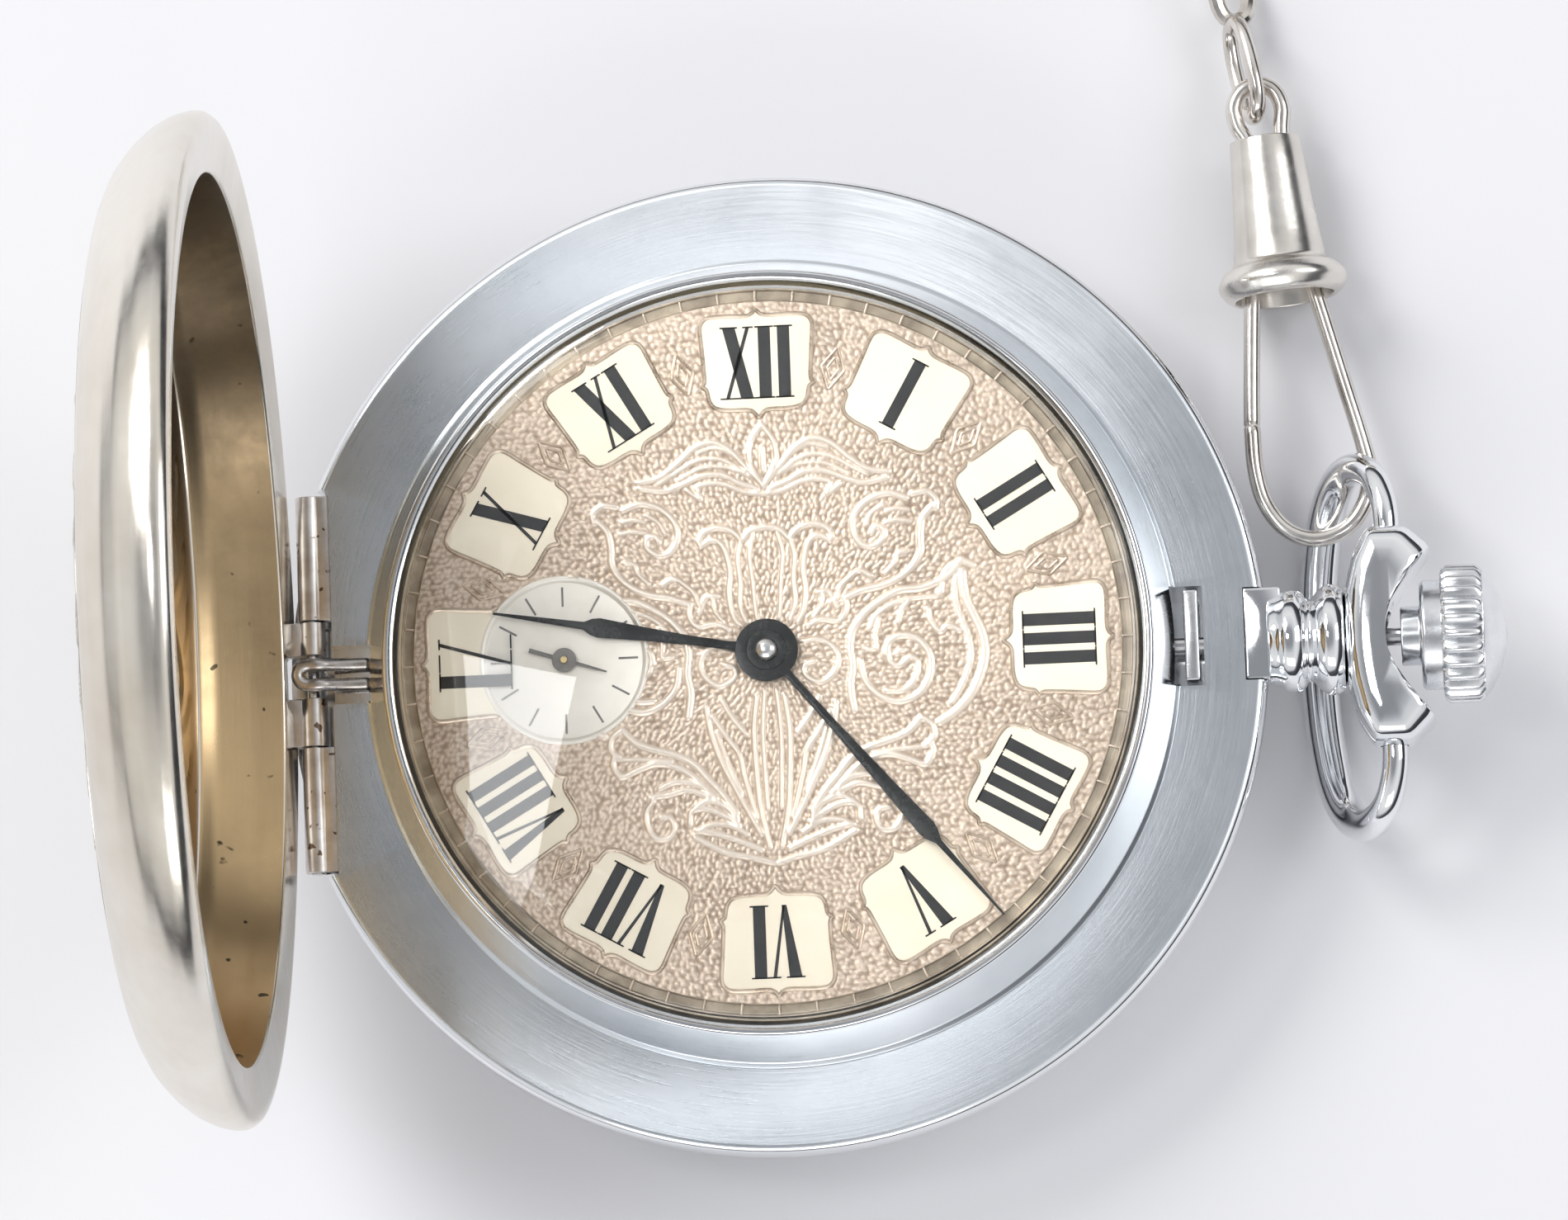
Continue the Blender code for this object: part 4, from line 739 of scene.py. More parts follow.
def make_case():
    """Band, back, bezel, crystal and lid catch."""
    profile = [(18.3, RIM_Z), (24.75, RIM_Z), (24.98, 8.38), (25.14, 8.08), (25.2, 7.6), (25.0, 6.2),
               (24.55, 4.7), (23.55, 4.7), (23.55, 5.6), (18.3, 5.6)]
    band = turned_solid("case_band", profile, POLISHED, "case", ("case_middle",), 0.1)
    carve(band, block(-27.0, -22.5, -9.95, 9.95, 5.9, 10.0))
    carve(band, block(-23.0, -20.0, -1.15, 1.85, 7.75, 10.0))
    carve(band, block(20.25, 21.95, -2.15, 2.95, 6.0, 10.0))
    carve(band, block(24.0, 27.0, -1.98, 2.78, 7.1, 10.0))
    carve(band, turned_by(along_x(), cylinder_parts(0.62, 17.0, 24.9, 32)))
    band.data.materials.append(RIM)
    for face in band.data.polygons:
        if face.normal.z > 0.9 and face.center.z > (RIM_Z - 0.06) * MM:
            face.material_index = 1

    back = [(0.0, 0.0), (14.0, 0.0), (18.2, 0.35), (21.6, 1.5), (23.7, 3.0), (24.55, 4.67), (23.5, 4.67),
            (23.5, 5.4), (22.9, 5.4), (22.9, 3.7), (20.9, 2.15), (18.0, 1.1), (14.0, 0.75), (0.0, 0.75)]
    turned_solid("back_cover", back, POLISHED, "case", ("case_back",), 0.5)

    ring = [(19.45, 12.75), (19.57, 12.63), (20.55, 9.05), (20.8, 8.7), (20.8, 8.52), (19.75, 8.52),
            (19.75, 10.5), (18.78, 11.8), (18.78, 12.52), (19.22, 12.52), (19.22, 12.75)]
    bezel = turned_solid("bezel_ring", ring, BEZEL, "case", ("bezel",), 0.1)
    carve(bezel, block(20.2, 22.0, -2.1, 2.9, 8.0, 9.25))
    carve(bezel, block(-22.0, -20.15, -1.1, 1.8, 8.0, 9.1))

    def domed(crown, radii):
        return [(r, crown - CRYSTAL_SAG * (r / CRYSTAL_R) ** 2) for r in radii]

    radii = [0.0, 3.0, 6.0, 9.0, 12.0, 14.5, 16.5, 18.0]
    edge = [(18.66, 13.42), (18.98, 13.2), (CRYSTAL_R, 12.86), (CRYSTAL_R, 12.55),
            (18.62, 12.55), (18.62, 12.95), (18.4, 13.1)]
    profile = domed(CRYSTAL_TOP, radii) + edge + domed(CRYSTAL_UNDER, reversed(radii))
    dome = Shape().add(*lathe_parts(profile, ROUND_STEPS, closed=False))
    piece("watch_glass", dome, GLASS, "case", ("crystal",), 50.0)

    catch = Shape().add(*box_parts((20.98, -1.9, 6.06), (21.7, 2.7, 8.98), 0.1))
    piece("catch_tongue", catch, STEEL, "catch", ("lid_catch",))


YOKE_X, YOKE_SHARP = 31.2, 26.0     # middle of the yoke; its own limit for sharp edges, in degrees


def make_pendant():
    """Neck, yoke and bow."""
    profile = [(0.62, 25.2), (2.15, 25.2), (2.35, 25.72), (2.62, 26.1), (2.66, 26.6), (2.45, 27.0),
               (2.08, 27.2), (2.08, 27.42), (2.5, 27.75), (2.82, 28.2), (2.82, 28.7), (2.55, 29.1), (0.62, 29.1)]
    neck = Shape().add(*lathed(profile, 0.16, 96)).moved(along_x())
    neck.add(*box_parts((24.03, -1.93, 7.15), (25.9, 2.73, 8.5), 0.1))
    piece("pendant_tube", neck, CHROME, "case", ("pendant_neck",))

    half = [(28.95, 0.9), (29.15, 2.5), (29.6, 4.2), (30.4, 5.6), (32.4, 5.6), (33.7, 4.4), (32.6, 3.1),
            (31.65, 1.8), (YOKE_X, 0.7)]
    outline = [(x, -y) for x, y in half] + [(x, y) for x, y in reversed(half)]
    eased = ease_corners(outline, 0.35)
    upper = ((0.6, 1.0), (0.95, 0.99), (1.35, 0.965), (1.7, 0.925), (1.98, 0.86), (2.2, 0.76), (2.36, 0.62),
             (2.47, 0.42), (2.52, 0.2))     # height above the stem's axis, and how full the outline is
    levels = [(-z, full) for z, full in reversed(upper)] + list(upper)
    rings = [[(YOKE_X + (x - YOKE_X) * (1.0 - (1.0 - full) * 0.9), y * (1.0 - (1.0 - full) * 0.45),
               STEM_Z + z) for x, y in eased] for z, full in levels]
    yoke = piece("pendant_collar", Shape().add(*stack_parts(rings)), CHROME, "case", ("pendant_yoke",),
                 YOKE_SHARP)
    carve(yoke, turned_by(along_x(), cylinder_parts(1.8, 27.0, 36.0, 64)), YOKE_SHARP)
    for sign in (-1.0, 1.0):
        hole = [(BOW_X, sign * 3.4, STEM_Z), (BOW_X, sign * 7.0, STEM_Z)]
        carve(yoke, tube_parts(hole, 0.72, 32), YOKE_SHARP)

    # The bow hangs down and back from its pivots; half of it is (distance down, sideways).
    down = Vector((-3.8, 0.0, -6.72))
    reach = down.length
    down.normalize()
    half = [(0.0, 3.75), (0.0, 5.0), (0.0, 6.3), (0.35, 7.4), (1.1, 8.4), (2.3, 9.0), (3.6, 9.15), (5.0, 8.6),
            (6.2, 7.2), (7.0, 5.3), (7.5, 3.0), (reach, 0.0)]
    full = half + [(u, -v) for u, v in reversed(half[:-1])]
    path = smooth_path([Vector((BOW_X, v, STEM_Z)) + down * u for u, v in full], 7)
    off = np.linalg.norm(path[:, (0, 2)] - np.array([BOW_X, STEM_Z]), axis=1)
    wire = Shape().add(*tube_parts(path, 0.66 + 0.29 * np.minimum(1.0, off / 6.0), 28))
    piece("bow_ring", wire, CHROME, "bow_ring", ("bow",))


def make_crown():
    """A fluted ring over a turned core; in the ring's table, x, size and depth of the flutes."""
    core = [(0.0, 31.95), (1.5, 31.95), (1.5, 32.95), (2.62, 32.95), (2.8, 33.12), (2.8, 34.3), (3.1, 34.3),
            (3.1, 36.1), (3.3, 36.15), (2.9, 36.45), (2.0, 36.95), (1.0, 37.25), (0.0, 37.35)]
    shape = Shape().add(*lathed(core, 0.1, 104, closed=False))
    flutes, steps = 26, 8
    rings = []
    for x, scale, depth in ((34.02, 0.88, 0.1), (34.1, 0.95, 0.7), (34.35, 1.0, 1.0), (35.8, 1.0, 1.0),
                            (36.05, 0.96, 0.7), (36.2, 0.9, 0.1)):
        ring = []
        for k in range(flutes * steps):
            wave = 0.5 + 0.5 * math.cos(TAU * k / steps)
            r = (3.52 - 0.34 * depth * (1.0 - wave ** 0.6)) * scale
            a = TAU * k / (flutes * steps)
            ring.append((r * math.cos(a), r * math.sin(a), x))
        rings.append(ring)
    shape.add(*stack_parts(rings)).moved(along_x())
    piece("crown_knob", shape, CROWN, "crown_head", ("crown",), 40.0)


def make_hinge():
    """The case's two knuckles, and the lid's two with their leaves as one piece."""
    def knuckle(shape, low, high, radius=0.68):
        points, faces = lathed([(0.33, low), (radius, low), (radius, high), (0.33, high)], 0.07, 40)
        shape.add([(HINGE_X + x, z, HINGE_Z + y) for x, y, z in points], faces)

    for name, low, high, cad in (("hinge_top", 3.27, 9.7, "hinge_knuckle_upper"),
                                 ("hinge_bottom", -9.7, -3.27, "hinge_knuckle_lower")):
        shape = Shape()
        knuckle(shape, low, high)
        shape.add(*box_parts((HINGE_X + 0.25, low, 7.15), (-22.53, high, 8.1), 0.07))
        piece(name, shape, HINGE, "case", (cad,))
    leaves = Shape()
    for low, high in ((-3.2, -0.72), (1.48, 3.2)):
        knuckle(leaves, low, high)
        leaves.add(*box_parts((HINGE_X - 1.5, low, HINGE_Z - 0.66),
                              (HINGE_X - 0.5, high, HINGE_Z + 0.35), 0.07))
    piece("lid_knuckles", leaves, HINGE, "lid", ("lid_knuckle",))


def make_spring():
    """The hairpin of wire at nine, mirrored about its own middle."""
    y, leg, top = 0.38, 0.51, 8.70
    side = [(-20.75, y + leg, 8.17), (-21.6, y + leg, 8.22), (-22.4, y + leg, 8.42), (-23.1, y + leg, top),
            (-23.75, y + leg, top), (-24.12, y + 0.7 * leg, top), (-24.28, y, top)]
    knots = side + [(x, 2.0 * y - yy, z) for x, yy, z in reversed(side[:-1])]
    shape = Shape().add(*tube_parts(smooth_path(knots, 6), 0.34, 16))
    piece("spring_hairpin", shape, TARNISHED, "case", ("lid_spring_wire",))


# ---- lid --------------------------------------------------------------------

OPENED = (Matrix.Translation((HINGE_X, 0.0, HINGE_Z)) @ Matrix.Rotation(-OPEN_ANGLE, 4, "Y")
          @ Matrix.Translation((-HINGE_X, 0.0, -HINGE_Z)))


LID_STROKES = (                     # how many round the lid, width, height, points
    (16, 0.42, 1.0, [(12.6, -1.2), (14.0, -2.1), (16.0, -1.7), (17.4, 0.1), (16.6, 1.7), (15.0, 1.6),
                     (14.6, 0.5), (15.5, 0.1)]),
    (16, 0.36, 0.8, [(12.2, 1.6), (13.6, 2.6), (15.4, 3.0), (17.8, 2.4), (19.2, 1.0)]),
    (16, 0.3, 0.7, [(18.2, -1.2), (18.9, -2.4), (19.0, -3.6)]),
    (8, 0.45, 1.0, [(2.2, 0.0), (5.0, 1.5), (8.0, 1.4), (10.6, 0.0), (8.0, -1.4), (5.0, -1.5), (2.2, 0.0)]),
    (8, 0.3, 0.6, [(3.5, 0.0), (9.2, 0.0)]),
    (8, 0.35, 0.8, [(4.8, 3.0), (7.8, 4.2), (9.6, 3.9), (9.9, 3.0)]),
)
LID_SAG, LID_R = 1.1, 20.85
LID_RELIEF = 0.2                    # height of the ornament


def make_lid():
    """The lid is drawn closed and turned open about the hinge."""
    base = RIM_Z
    raw = [(22.0, 0.38), (24.2, 0.03), (24.75, 0.14), (25.05, 0.55), (25.08, 1.0), (24.9, 1.8), (24.45, 2.7),
           (23.7, 3.6), (22.75, 4.4), (21.7, 4.93), (20.95, 5.14), (20.95, 4.64), (21.35, 3.9), (21.75, 2.0),
           (21.95, 0.7)]
    shape = Shape().add(*lathed([(r, base + d) for r, d in raw], 0.3, ROUND_STEPS, bits=4)).moved(OPENED)
    band = piece("lid_band", shape, LID_NICKEL, "lid", ("lid_ring",))
    cutter = tube_parts([(HINGE_X, -0.67, HINGE_Z), (HINGE_X, 1.43, HINGE_Z)], 2.05, 48)
    carve(band, cutter)
    band.data.materials.append(LID_INSIDE)
    back = OPENED.inverted()
    for face in band.data.polygons:
        x, y, z = back @ (face.center / MM)
        radius = math.hypot(x, y)
        if radius < 21.98 and z < base + 4.6:
            face.material_index = 1

    picture = Relief(22.0, 1100)
    for count, width, peak, points in LID_STROKES:
        for k in range(count):
            picture.stroke(turned(points, TAU * k / count), width, peak)
    ring = [(11.4 * math.cos(a), 11.4 * math.sin(a)) for a in np.linspace(0, TAU, 61)]
    picture.stroke(ring, 0.3, 0.9)
    picture.finish(0.22)

    steps = 480
    radii = list(np.linspace(0.35, 20.4, 130)) + [20.75, 20.91]

    def level(x, y, r, crown):
        fade = np.clip((20.6 - r) / 0.5, 0, 1)
        return base + crown - LID_SAG * (r / LID_R) ** 2 + LID_RELIEF * picture.sample(x, y) * fade

    shape = polar_solid(radii, steps, lambda x, y, r: level(x, y, r, 6.25),
                        lambda x, y, r: level(x, y, r, 5.85))
    panel = piece("lid_plate", shape.moved(OPENED), LID_NICKEL, "lid", ("lid_panel",), 60.0)
    panel.data.materials.append(LID_INSIDE)
    inward = (OPENED.to_3x3() @ Vector((0.0, 0.0, -1.0))).normalized()
    for face in panel.data.polygons:
        if face.normal.dot(inward) > 0.3:
            face.material_index = 1

    make_hinge()


def turned(points, angle):
    """Flat points turned about the middle."""
    c, s = math.cos(angle), math.sin(angle)
    return [(x * c - y * s, x * s + y * c) for x, y in points]


class Relief:
    """A height picture drawn with round-topped strokes, read back at any point."""

    def __init__(self, half, size):
        self.half, self.size = half, size
        self.cell = 2.0 * half / size
        self.height = np.zeros((size, size), np.float32)
        self.cover = np.zeros((size, size), np.float32)

    def stroke(self, points, width, peak):
        """Draws a smooth line through the points; width is from its middle to its side."""
        path = smooth_path(points, 5)
        low = np.floor((path.min(0) - width * 1.4 + self.half) / self.cell).astype(int).clip(0, self.size - 1)
        high = np.ceil((path.max(0) + width * 1.4 + self.half) / self.cell).astype(int).clip(1, self.size)
        if (high <= low).any():
            return
        ys, xs = np.mgrid[low[1]:high[1], low[0]:high[0]]
        px, py = (xs + 0.5) * self.cell - self.half, (ys + 0.5) * self.cell - self.half
        best = np.full(px.shape, 1e9)
        for (ax, ay), (bx, by) in zip(path[:-1], path[1:]):
            dx, dy = bx - ax, by - ay
            t = np.clip(((px - ax) * dx + (py - ay) * dy) / max(dx * dx + dy * dy, 1e-9), 0, 1)
            best = np.minimum(best, (px - ax - t * dx) ** 2 + (py - ay - t * dy) ** 2)
        away = np.sqrt(best) / width
        view = (slice(low[1], high[1]), slice(low[0], high[0]))
        ridge = peak * np.sqrt(np.clip(1.0 - away ** 2, 0, 1)) * np.clip((1.0 - away) * 3.5, 0, 1) ** 0.5
        self.height[view] = np.maximum(self.height[view], ridge)
        self.cover[view] = np.maximum(self.cover[view], np.clip((1.35 - away) / 0.3, 0, 1))

    def finish(self, blur):
        """Softens the picture by about that many millimetres."""
        for _ in range(max(1, int(blur / self.cell / 2))):
            for axis in (0, 1):
                beside = np.roll(self.height, 1, axis) + np.roll(self.height, -1, axis)
                self.height = 0.5 * self.height + 0.25 * beside

    def sample(self, x, y, what=None):
        """Heights at millimetre positions, from this picture or from another of its size."""
        grid = self.height if what is None else what
        gx = np.clip((x + self.half) / self.cell - 0.5, 0, self.size - 1.001)
        gy = np.clip((y + self.half) / self.cell - 0.5, 0, self.size - 1.001)
        ix, iy = gx.astype(int), gy.astype(int)
        fx, fy = gx - ix, gy - iy
        return ((grid[iy, ix] * (1 - fx) + grid[iy, ix + 1] * fx) * (1 - fy)
                + (grid[iy + 1, ix] * (1 - fx) + grid[iy + 1, ix + 1] * fx) * fy)


def polar_solid(radii, steps, top, bottom, bore=False):
    """A plate between two height functions over a round grid, closed at the rim and at the middle."""
    angles = np.arange(steps) * TAU / steps
    r = np.repeat(np.asarray(radii)[:, None], steps, 1)
    x, y = r * np.cos(angles), r * np.sin(angles)
    shape = Shape()
    layers = []
    for surface in (top, bottom):
        z = surface(x, y, r)
        layers.append(np.column_stack([x.ravel(), y.ravel(), np.broadcast_to(z, x.shape).ravel()]))
    count = len(radii)
    index = np.arange(count * steps).reshape(count, steps)
    following = np.roll(index, -1, 1)
    quads = np.stack([index[:-1], following[:-1], following[1:], index[1:]], -1).reshape(-1, 4)
    low = quads[:, ::-1] + count * steps
    walls = []
    for row in (0, count - 1):
        walls.append(np.stack([index[row], following[row], following[row] + count * steps,
                               index[row] + count * steps], -1))
    faces = np.vstack([quads, low] + ([walls[0]] if bore else []) + [walls[1]])
    shape.points = [tuple(p) for p in np.vstack(layers).tolist()]
    shape.faces = [tuple(f) for f in faces.tolist()]
    if not bore:
        for base, order in ((0, 1), (count * steps, -1)):
            shape.faces.append(tuple(range(base, base + steps))[::order])
    return shape


# ---- dial -------------------------------------------------------------------

MIRROR_X = 0.1                      # the ornament's own middle line
LINE_SHARE = 0.74                   # drawn width of the strokes below
# Left half of the dial's ornament: width, height, points.
MIRRORED = [
    (0.17, 1.0, [(0.1, 11.6), (-0.45, 10.8), (-0.6, 9.9), (-0.35, 9.2), (0.1, 8.4)]),
    (0.18, 1.0, [(0.0, 8.6), (-0.9, 9.6), (-1.6, 10.4), (-2.5, 10.8), (-3.4, 10.5), (-4.2, 9.8),
                 (-5.2, 9.1), (-6.3, 8.9)]),
    (0.18, 1.0, [(-6.2, 8.6), (-5.0, 8.4), (-4.0, 8.7), (-3.0, 9.1), (-2.0, 9.1), (-1.2, 8.7), (-0.2, 8.3)]),
    (0.13, 0.8, [(-0.8, 9.2), (-2.0, 9.9), (-3.2, 9.9), (-4.5, 9.2), (-5.2, 8.8)]),
    (0.12, 0.7, [(-0.6, 9.0), (-1.8, 9.5), (-3.0, 9.5), (-4.3, 8.9)]),
    (0.12, 0.7, [(-1.0, 9.8), (-2.2, 10.5), (-3.2, 10.3)]),
    (0.16, 0.9, [(-3.8, 8.4), (-3.1, 7.9), (-3.3, 8.5), (-2.6, 8.7), (-1.8, 8.6), (-0.9, 8.2), (0.1, 8.05)]),
    (0.2, 1.0, [(-1.1, 5.7), (-0.6, 6.2), (0.1, 6.35)]),
    (0.2, 1.0, [(-3.3, 5.7), (-3.0, 6.2), (-2.3, 6.4), (-1.6, 6.2), (-1.1, 5.7)]),
    (0.2, 1.0, [(-3.2, 5.5), (-2.6, 5.8), (-2.1, 5.5), (-1.85, 4.8), (-1.75, 4.0), (-1.85, 3.0),
                (-1.7, 2.0), (-1.4, 1.4)]),
    (0.17, 0.9, [(-1.15, 5.7), (-1.35, 4.8), (-1.25, 3.6), (-1.3, 2.4), (-1.0, 1.5)]),
    (0.15, 0.8, [(-0.5, 6.0), (-0.75, 5.0), (-0.62, 3.6), (-0.55, 2.4), (-0.45, 1.6)]),
    (0.2, 1.0, [(-8.6, 6.9), (-8.6, 7.4), (-8.1, 7.8), (-7.4, 7.7)]),
    (0.22, 1.0, [(-7.1, 7.5), (-6.2, 7.8), (-5.2, 7.5), (-4.5, 6.8), (-4.35, 6.0), (-4.7, 5.3),
                 (-5.3, 5.1), (-5.9, 5.5),
                 (-5.9, 6.0), (-5.5, 6.1), (-5.3, 5.8)]),
    (0.14, 0.8, [(-5.9, 7.2), (-5.3, 6.8), (-5.0, 6.2)]),
    (0.14, 0.8, [(-7.3, 6.3), (-6.6, 6.4), (-6.0, 6.3)]),
    (0.14, 0.8, [(-7.2, 6.9), (-6.6, 7.0), (-6.1, 6.9)]),
    (0.24, 1.0, [(-8.4, 7.0), (-7.9, 6.4), (-7.75, 5.5), (-7.75, 4.8), (-7.4, 4.1), (-6.7, 3.5),
                 (-5.8, 3.1), (-4.8, 2.9),
                 (-4.0, 2.6)]),
    (0.16, 0.9, [(-7.1, 4.8), (-6.6, 4.7), (-6.4, 4.2), (-5.9, 3.7)]),
    (0.18, 0.9, [(-5.2, 3.6), (-4.6, 3.9), (-4.0, 3.5), (-3.6, 3.1), (-3.4, 2.5)]),
    (0.18, 0.9, [(-3.4, 2.1), (-3.0, 2.9), (-2.4, 2.9)]),
    (0.16, 0.9, [(-2.7, 2.9), (-2.6, 2.2), (-2.2, 1.6)]),
    (0.2, 1.0, [(-3.8, 2.6), (-3.9, 2.0), (-3.5, 1.4), (-2.6, 1.5), (-1.9, 1.2)]),
    (0.26, 1.0, [(-4.1, -3.2), (-3.95, -2.0), (-4.1, -1.0), (-4.0, 0.0), (-4.2, 0.9), (-4.8, 1.7),
                 (-5.6, 2.3),
                 (-6.6, 2.8), (-7.8, 2.9), (-9.0, 3.4), (-9.8, 4.2)]),
    (0.2, 1.0, [(-8.7, 2.6), (-8.8, 3.3), (-9.2, 3.9), (-9.8, 4.15), (-10.4, 3.9)]),
    (0.3, 1.0, [(-9.8, 3.6), (-9.9, 2.4), (-10.3, 1.4), (-10.7, 0.4), (-10.8, -0.7), (-10.5, -1.8),
                (-10.0, -2.7),
                (-9.2, -3.5), (-8.4, -4.0)]),
    (0.2, 0.8, [(-9.5, 3.4), (-9.4, 2.2), (-9.7, 1.2), (-10.0, 0.3), (-10.1, -0.8), (-9.7, -2.0),
                (-9.1, -3.0)]),
    (0.17, 0.9, [(-5.0, 0.9), (-5.4, 1.6), (-6.4, 2.2), (-7.6, 2.4), (-8.5, 2.4)]),
    (0.17, 0.9, [(-4.8, -0.1), (-5.3, -0.1), (-5.3, 0.6), (-5.5, 1.4)]),
    (0.17, 0.9, [(-6.5, 1.2), (-6.7, 1.8), (-7.1, 2.3)]),
    (0.2, 1.0, [(-8.0, 1.8), (-8.1, 1.2), (-8.6, 0.6), (-9.0, 0.9), (-9.6, 0.6)]),
    (0.24, 1.0, [(-5.8, -0.4), (-6.0, 0.2), (-6.6, 0.5), (-7.4, 0.3), (-8.0, -0.5), (-8.0, -1.6),
                 (-7.4, -2.5),
                 (-6.4, -2.85), (-5.4, -2.5), (-4.7, -1.7), (-4.5, -0.7)]),
    (0.2, 1.0, [(-5.9, -0.3), (-6.0, -0.8), (-6.4, -1.05), (-6.8, -0.8), (-7.1, -0.6), (-7.4, -1.0),
                (-7.2, -1.8),
                (-6.6, -2.3), (-5.8, -2.3)]),
    (0.2, 1.0, [(-6.35, -0.45), (-6.5, -0.25), (-6.75, -0.25)]),
    (0.2, 1.0, [(-1.7, 0.4), (-2.4, 0.5), (-3.1, 0.1), (-3.4, -0.6), (-3.1, -1.3), (-2.4, -1.7), (-1.7, -1.3),
                (-1.7, -0.8), (-2.2, -0.6)]),
    (0.2, 1.0, [(-0.6, -2.3), (-0.8, -4.0), (-0.75, -6.0), (-0.6, -8.0), (-0.2, -10.0)]),
    (0.16, 0.9, [(-0.2, -2.0), (-0.35, -4.0), (-0.32, -6.0), (-0.25, -8.0)]),
    (0.2, 1.0, [(-3.2, -2.7), (-3.0, -4.0), (-2.6, -5.3), (-2.0, -6.6), (-1.3, -8.0), (-0.6, -9.3)]),
    (0.18, 0.9, [(-2.9, -3.2), (-2.2, -4.3), (-1.6, -5.2), (-1.4, -6.2), (-1.1, -7.4), (-0.8, -8.5)]),
    (0.14, 0.8, [(-2.7, -4.0), (-2.2, -5.5), (-1.5, -7.2)]),
    (0.18, 0.9, [(-2.4, -2.4), (-1.9, -3.3), (-1.2, -4.2)]),
    (0.24, 1.0, [(-7.5, -3.7), (-6.8, -4.4), (-5.8, -4.8), (-4.8, -5.1), (-3.9, -5.6), (-3.2, -6.4),
                 (-2.5, -7.2),
                 (-1.8, -8.2)]),
    (0.22, 1.0, [(-7.5, -3.7), (-8.0, -4.1), (-8.1, -4.7), (-7.7, -5.1)]),
    (0.22, 1.0, [(-7.9, -5.0), (-8.0, -5.5), (-7.6, -6.1), (-6.8, -5.8), (-5.8, -5.5), (-4.8, -5.7),
                 (-4.0, -6.2),
                 (-3.3, -6.9)]),
    (0.15, 0.8, [(-7.7, -5.2), (-6.0, -5.3), (-5.0, -5.4)]),
    (0.2, 1.0, [(-5.7, -6.8), (-5.0, -6.5), (-4.2, -6.5), (-3.5, -6.8), (-2.8, -7.4)]),
    (0.2, 1.0, [(-6.2, -7.2), (-5.2, -7.1), (-4.2, -6.9), (-3.2, -7.3)]),
    (0.2, 1.0, [(-6.0, -7.4), (-6.4, -8.0), (-6.3, -8.8), (-5.9, -9.3), (-5.3, -9.3), (-5.0, -8.8),
                (-5.2, -8.3),
                (-5.7, -8.2)]),
    (0.2, 1.0, [(-3.9, -7.8), (-3.2, -7.5), (-2.4, -7.8), (-1.8, -8.5)]),
    (0.2, 1.0, [(-4.2, -8.7), (-4.1, -8.0), (-3.3, -7.9), (-2.4, -8.3), (-1.7, -8.8)]),
    (0.18, 0.9, [(-3.9, -9.0), (-3.0, -8.7), (-2.1, -8.8), (-1.3, -9.3)]),
    (0.2, 1.0, [(-4.0, -9.3), (-3.3, -9.7), (-2.3, -10.2), (-1.0, -10.5), (0.0, -10.8)]),
    (0.2, 1.0, [(-3.8, -9.0), (-2.8, -9.2), (-1.7, -9.6), (-0.6, -10.1)]),
]
DIAL_HALF, DIAL_CELLS = 18.5, 925   # the height picture's half width, and its cells along a side
PEBBLE = 0.27                       # spacing of the pebbled ground
PEBBLE_REACH = 5                    # cells that one pebble covers to each side of its middle
MARGIN = 2 * PEBBLE_REACH
LINE_HEIGHT, PEBBLE_HEIGHT = 0.115, 0.055


def dial_relief():
    """The dial's ornament as a height picture, and its pebbled ground as a grid of the same size."""
    picture = Relief(DIAL_HALF, DIAL_CELLS)
    for width, peak, points in MIRRORED:
        picture.stroke(points, LINE_SHARE * width, peak)
        picture.stroke([(2.0 * MIRROR_X - x, y) for x, y in points], LINE_SHARE * width, peak)
    picture.stroke([(0.1, 10.4), (0.12, 9.8), (0.15, 9.2)], 0.15, 0.8)
    picture.finish(0.04)
    rng = np.random.default_rng(5)
    size, cell = picture.size, picture.cell
    ground = np.zeros((size + 2 * MARGIN, size + 2 * MARGIN), np.float32)
    reach = PEBBLE_REACH
    ky, kx = np.mgrid[-reach:reach + 1, -reach:reach + 1] * cell
    count = int(2.0 * DIAL_HALF / PEBBLE)
    for i in range(count):
        for j in range(count):
            x = -DIAL_HALF + (i + 0.5 + 0.5 * (j % 2) + rng.uniform(-0.33, 0.33)) * PEBBLE
            y = -DIAL_HALF + (j + 0.5 + rng.uniform(-0.33, 0.33)) * PEBBLE
            if x * x + y * y > 330.0:
                continue
            cx, cy = int((x + DIAL_HALF) / cell) + MARGIN, int((y + DIAL_HALF) / cell) + MARGIN
            a = rng.uniform(0, math.pi)
            long, short = rng.uniform(0.1, 0.17), rng.uniform(0.075, 0.1)
            u, v = kx * math.cos(a) + ky * math.sin(a), -kx * math.sin(a) + ky * math.cos(a)
            blob = np.exp(-(u / long) ** 2 - (v / short) ** 2)
            view = (slice(cy - reach, cy + reach + 1), slice(cx - reach, cx + reach + 1))
            ground[view] = np.maximum(ground[view], blob * rng.uniform(0.7, 1.0))
    return picture, ground[MARGIN:-MARGIN, MARGIN:-MARGIN] * (1.0 - picture.cover)


def round_marks(name, count, low, high, ease, material, centre_x=0.0):
    """Small eased bars set out evenly round a centre, as one piece."""
    marks = Shape()
    for k in range(count):
        a = TAU * k / count
        points, faces = box_parts(low, high, ease)
        marks.add([(centre_x + x * math.cos(a) - y * math.sin(a), x * math.sin(a) + y * math.cos(a), z)
                   for x, y, z in points], faces)
    piece(name, marks, material, "case", ())


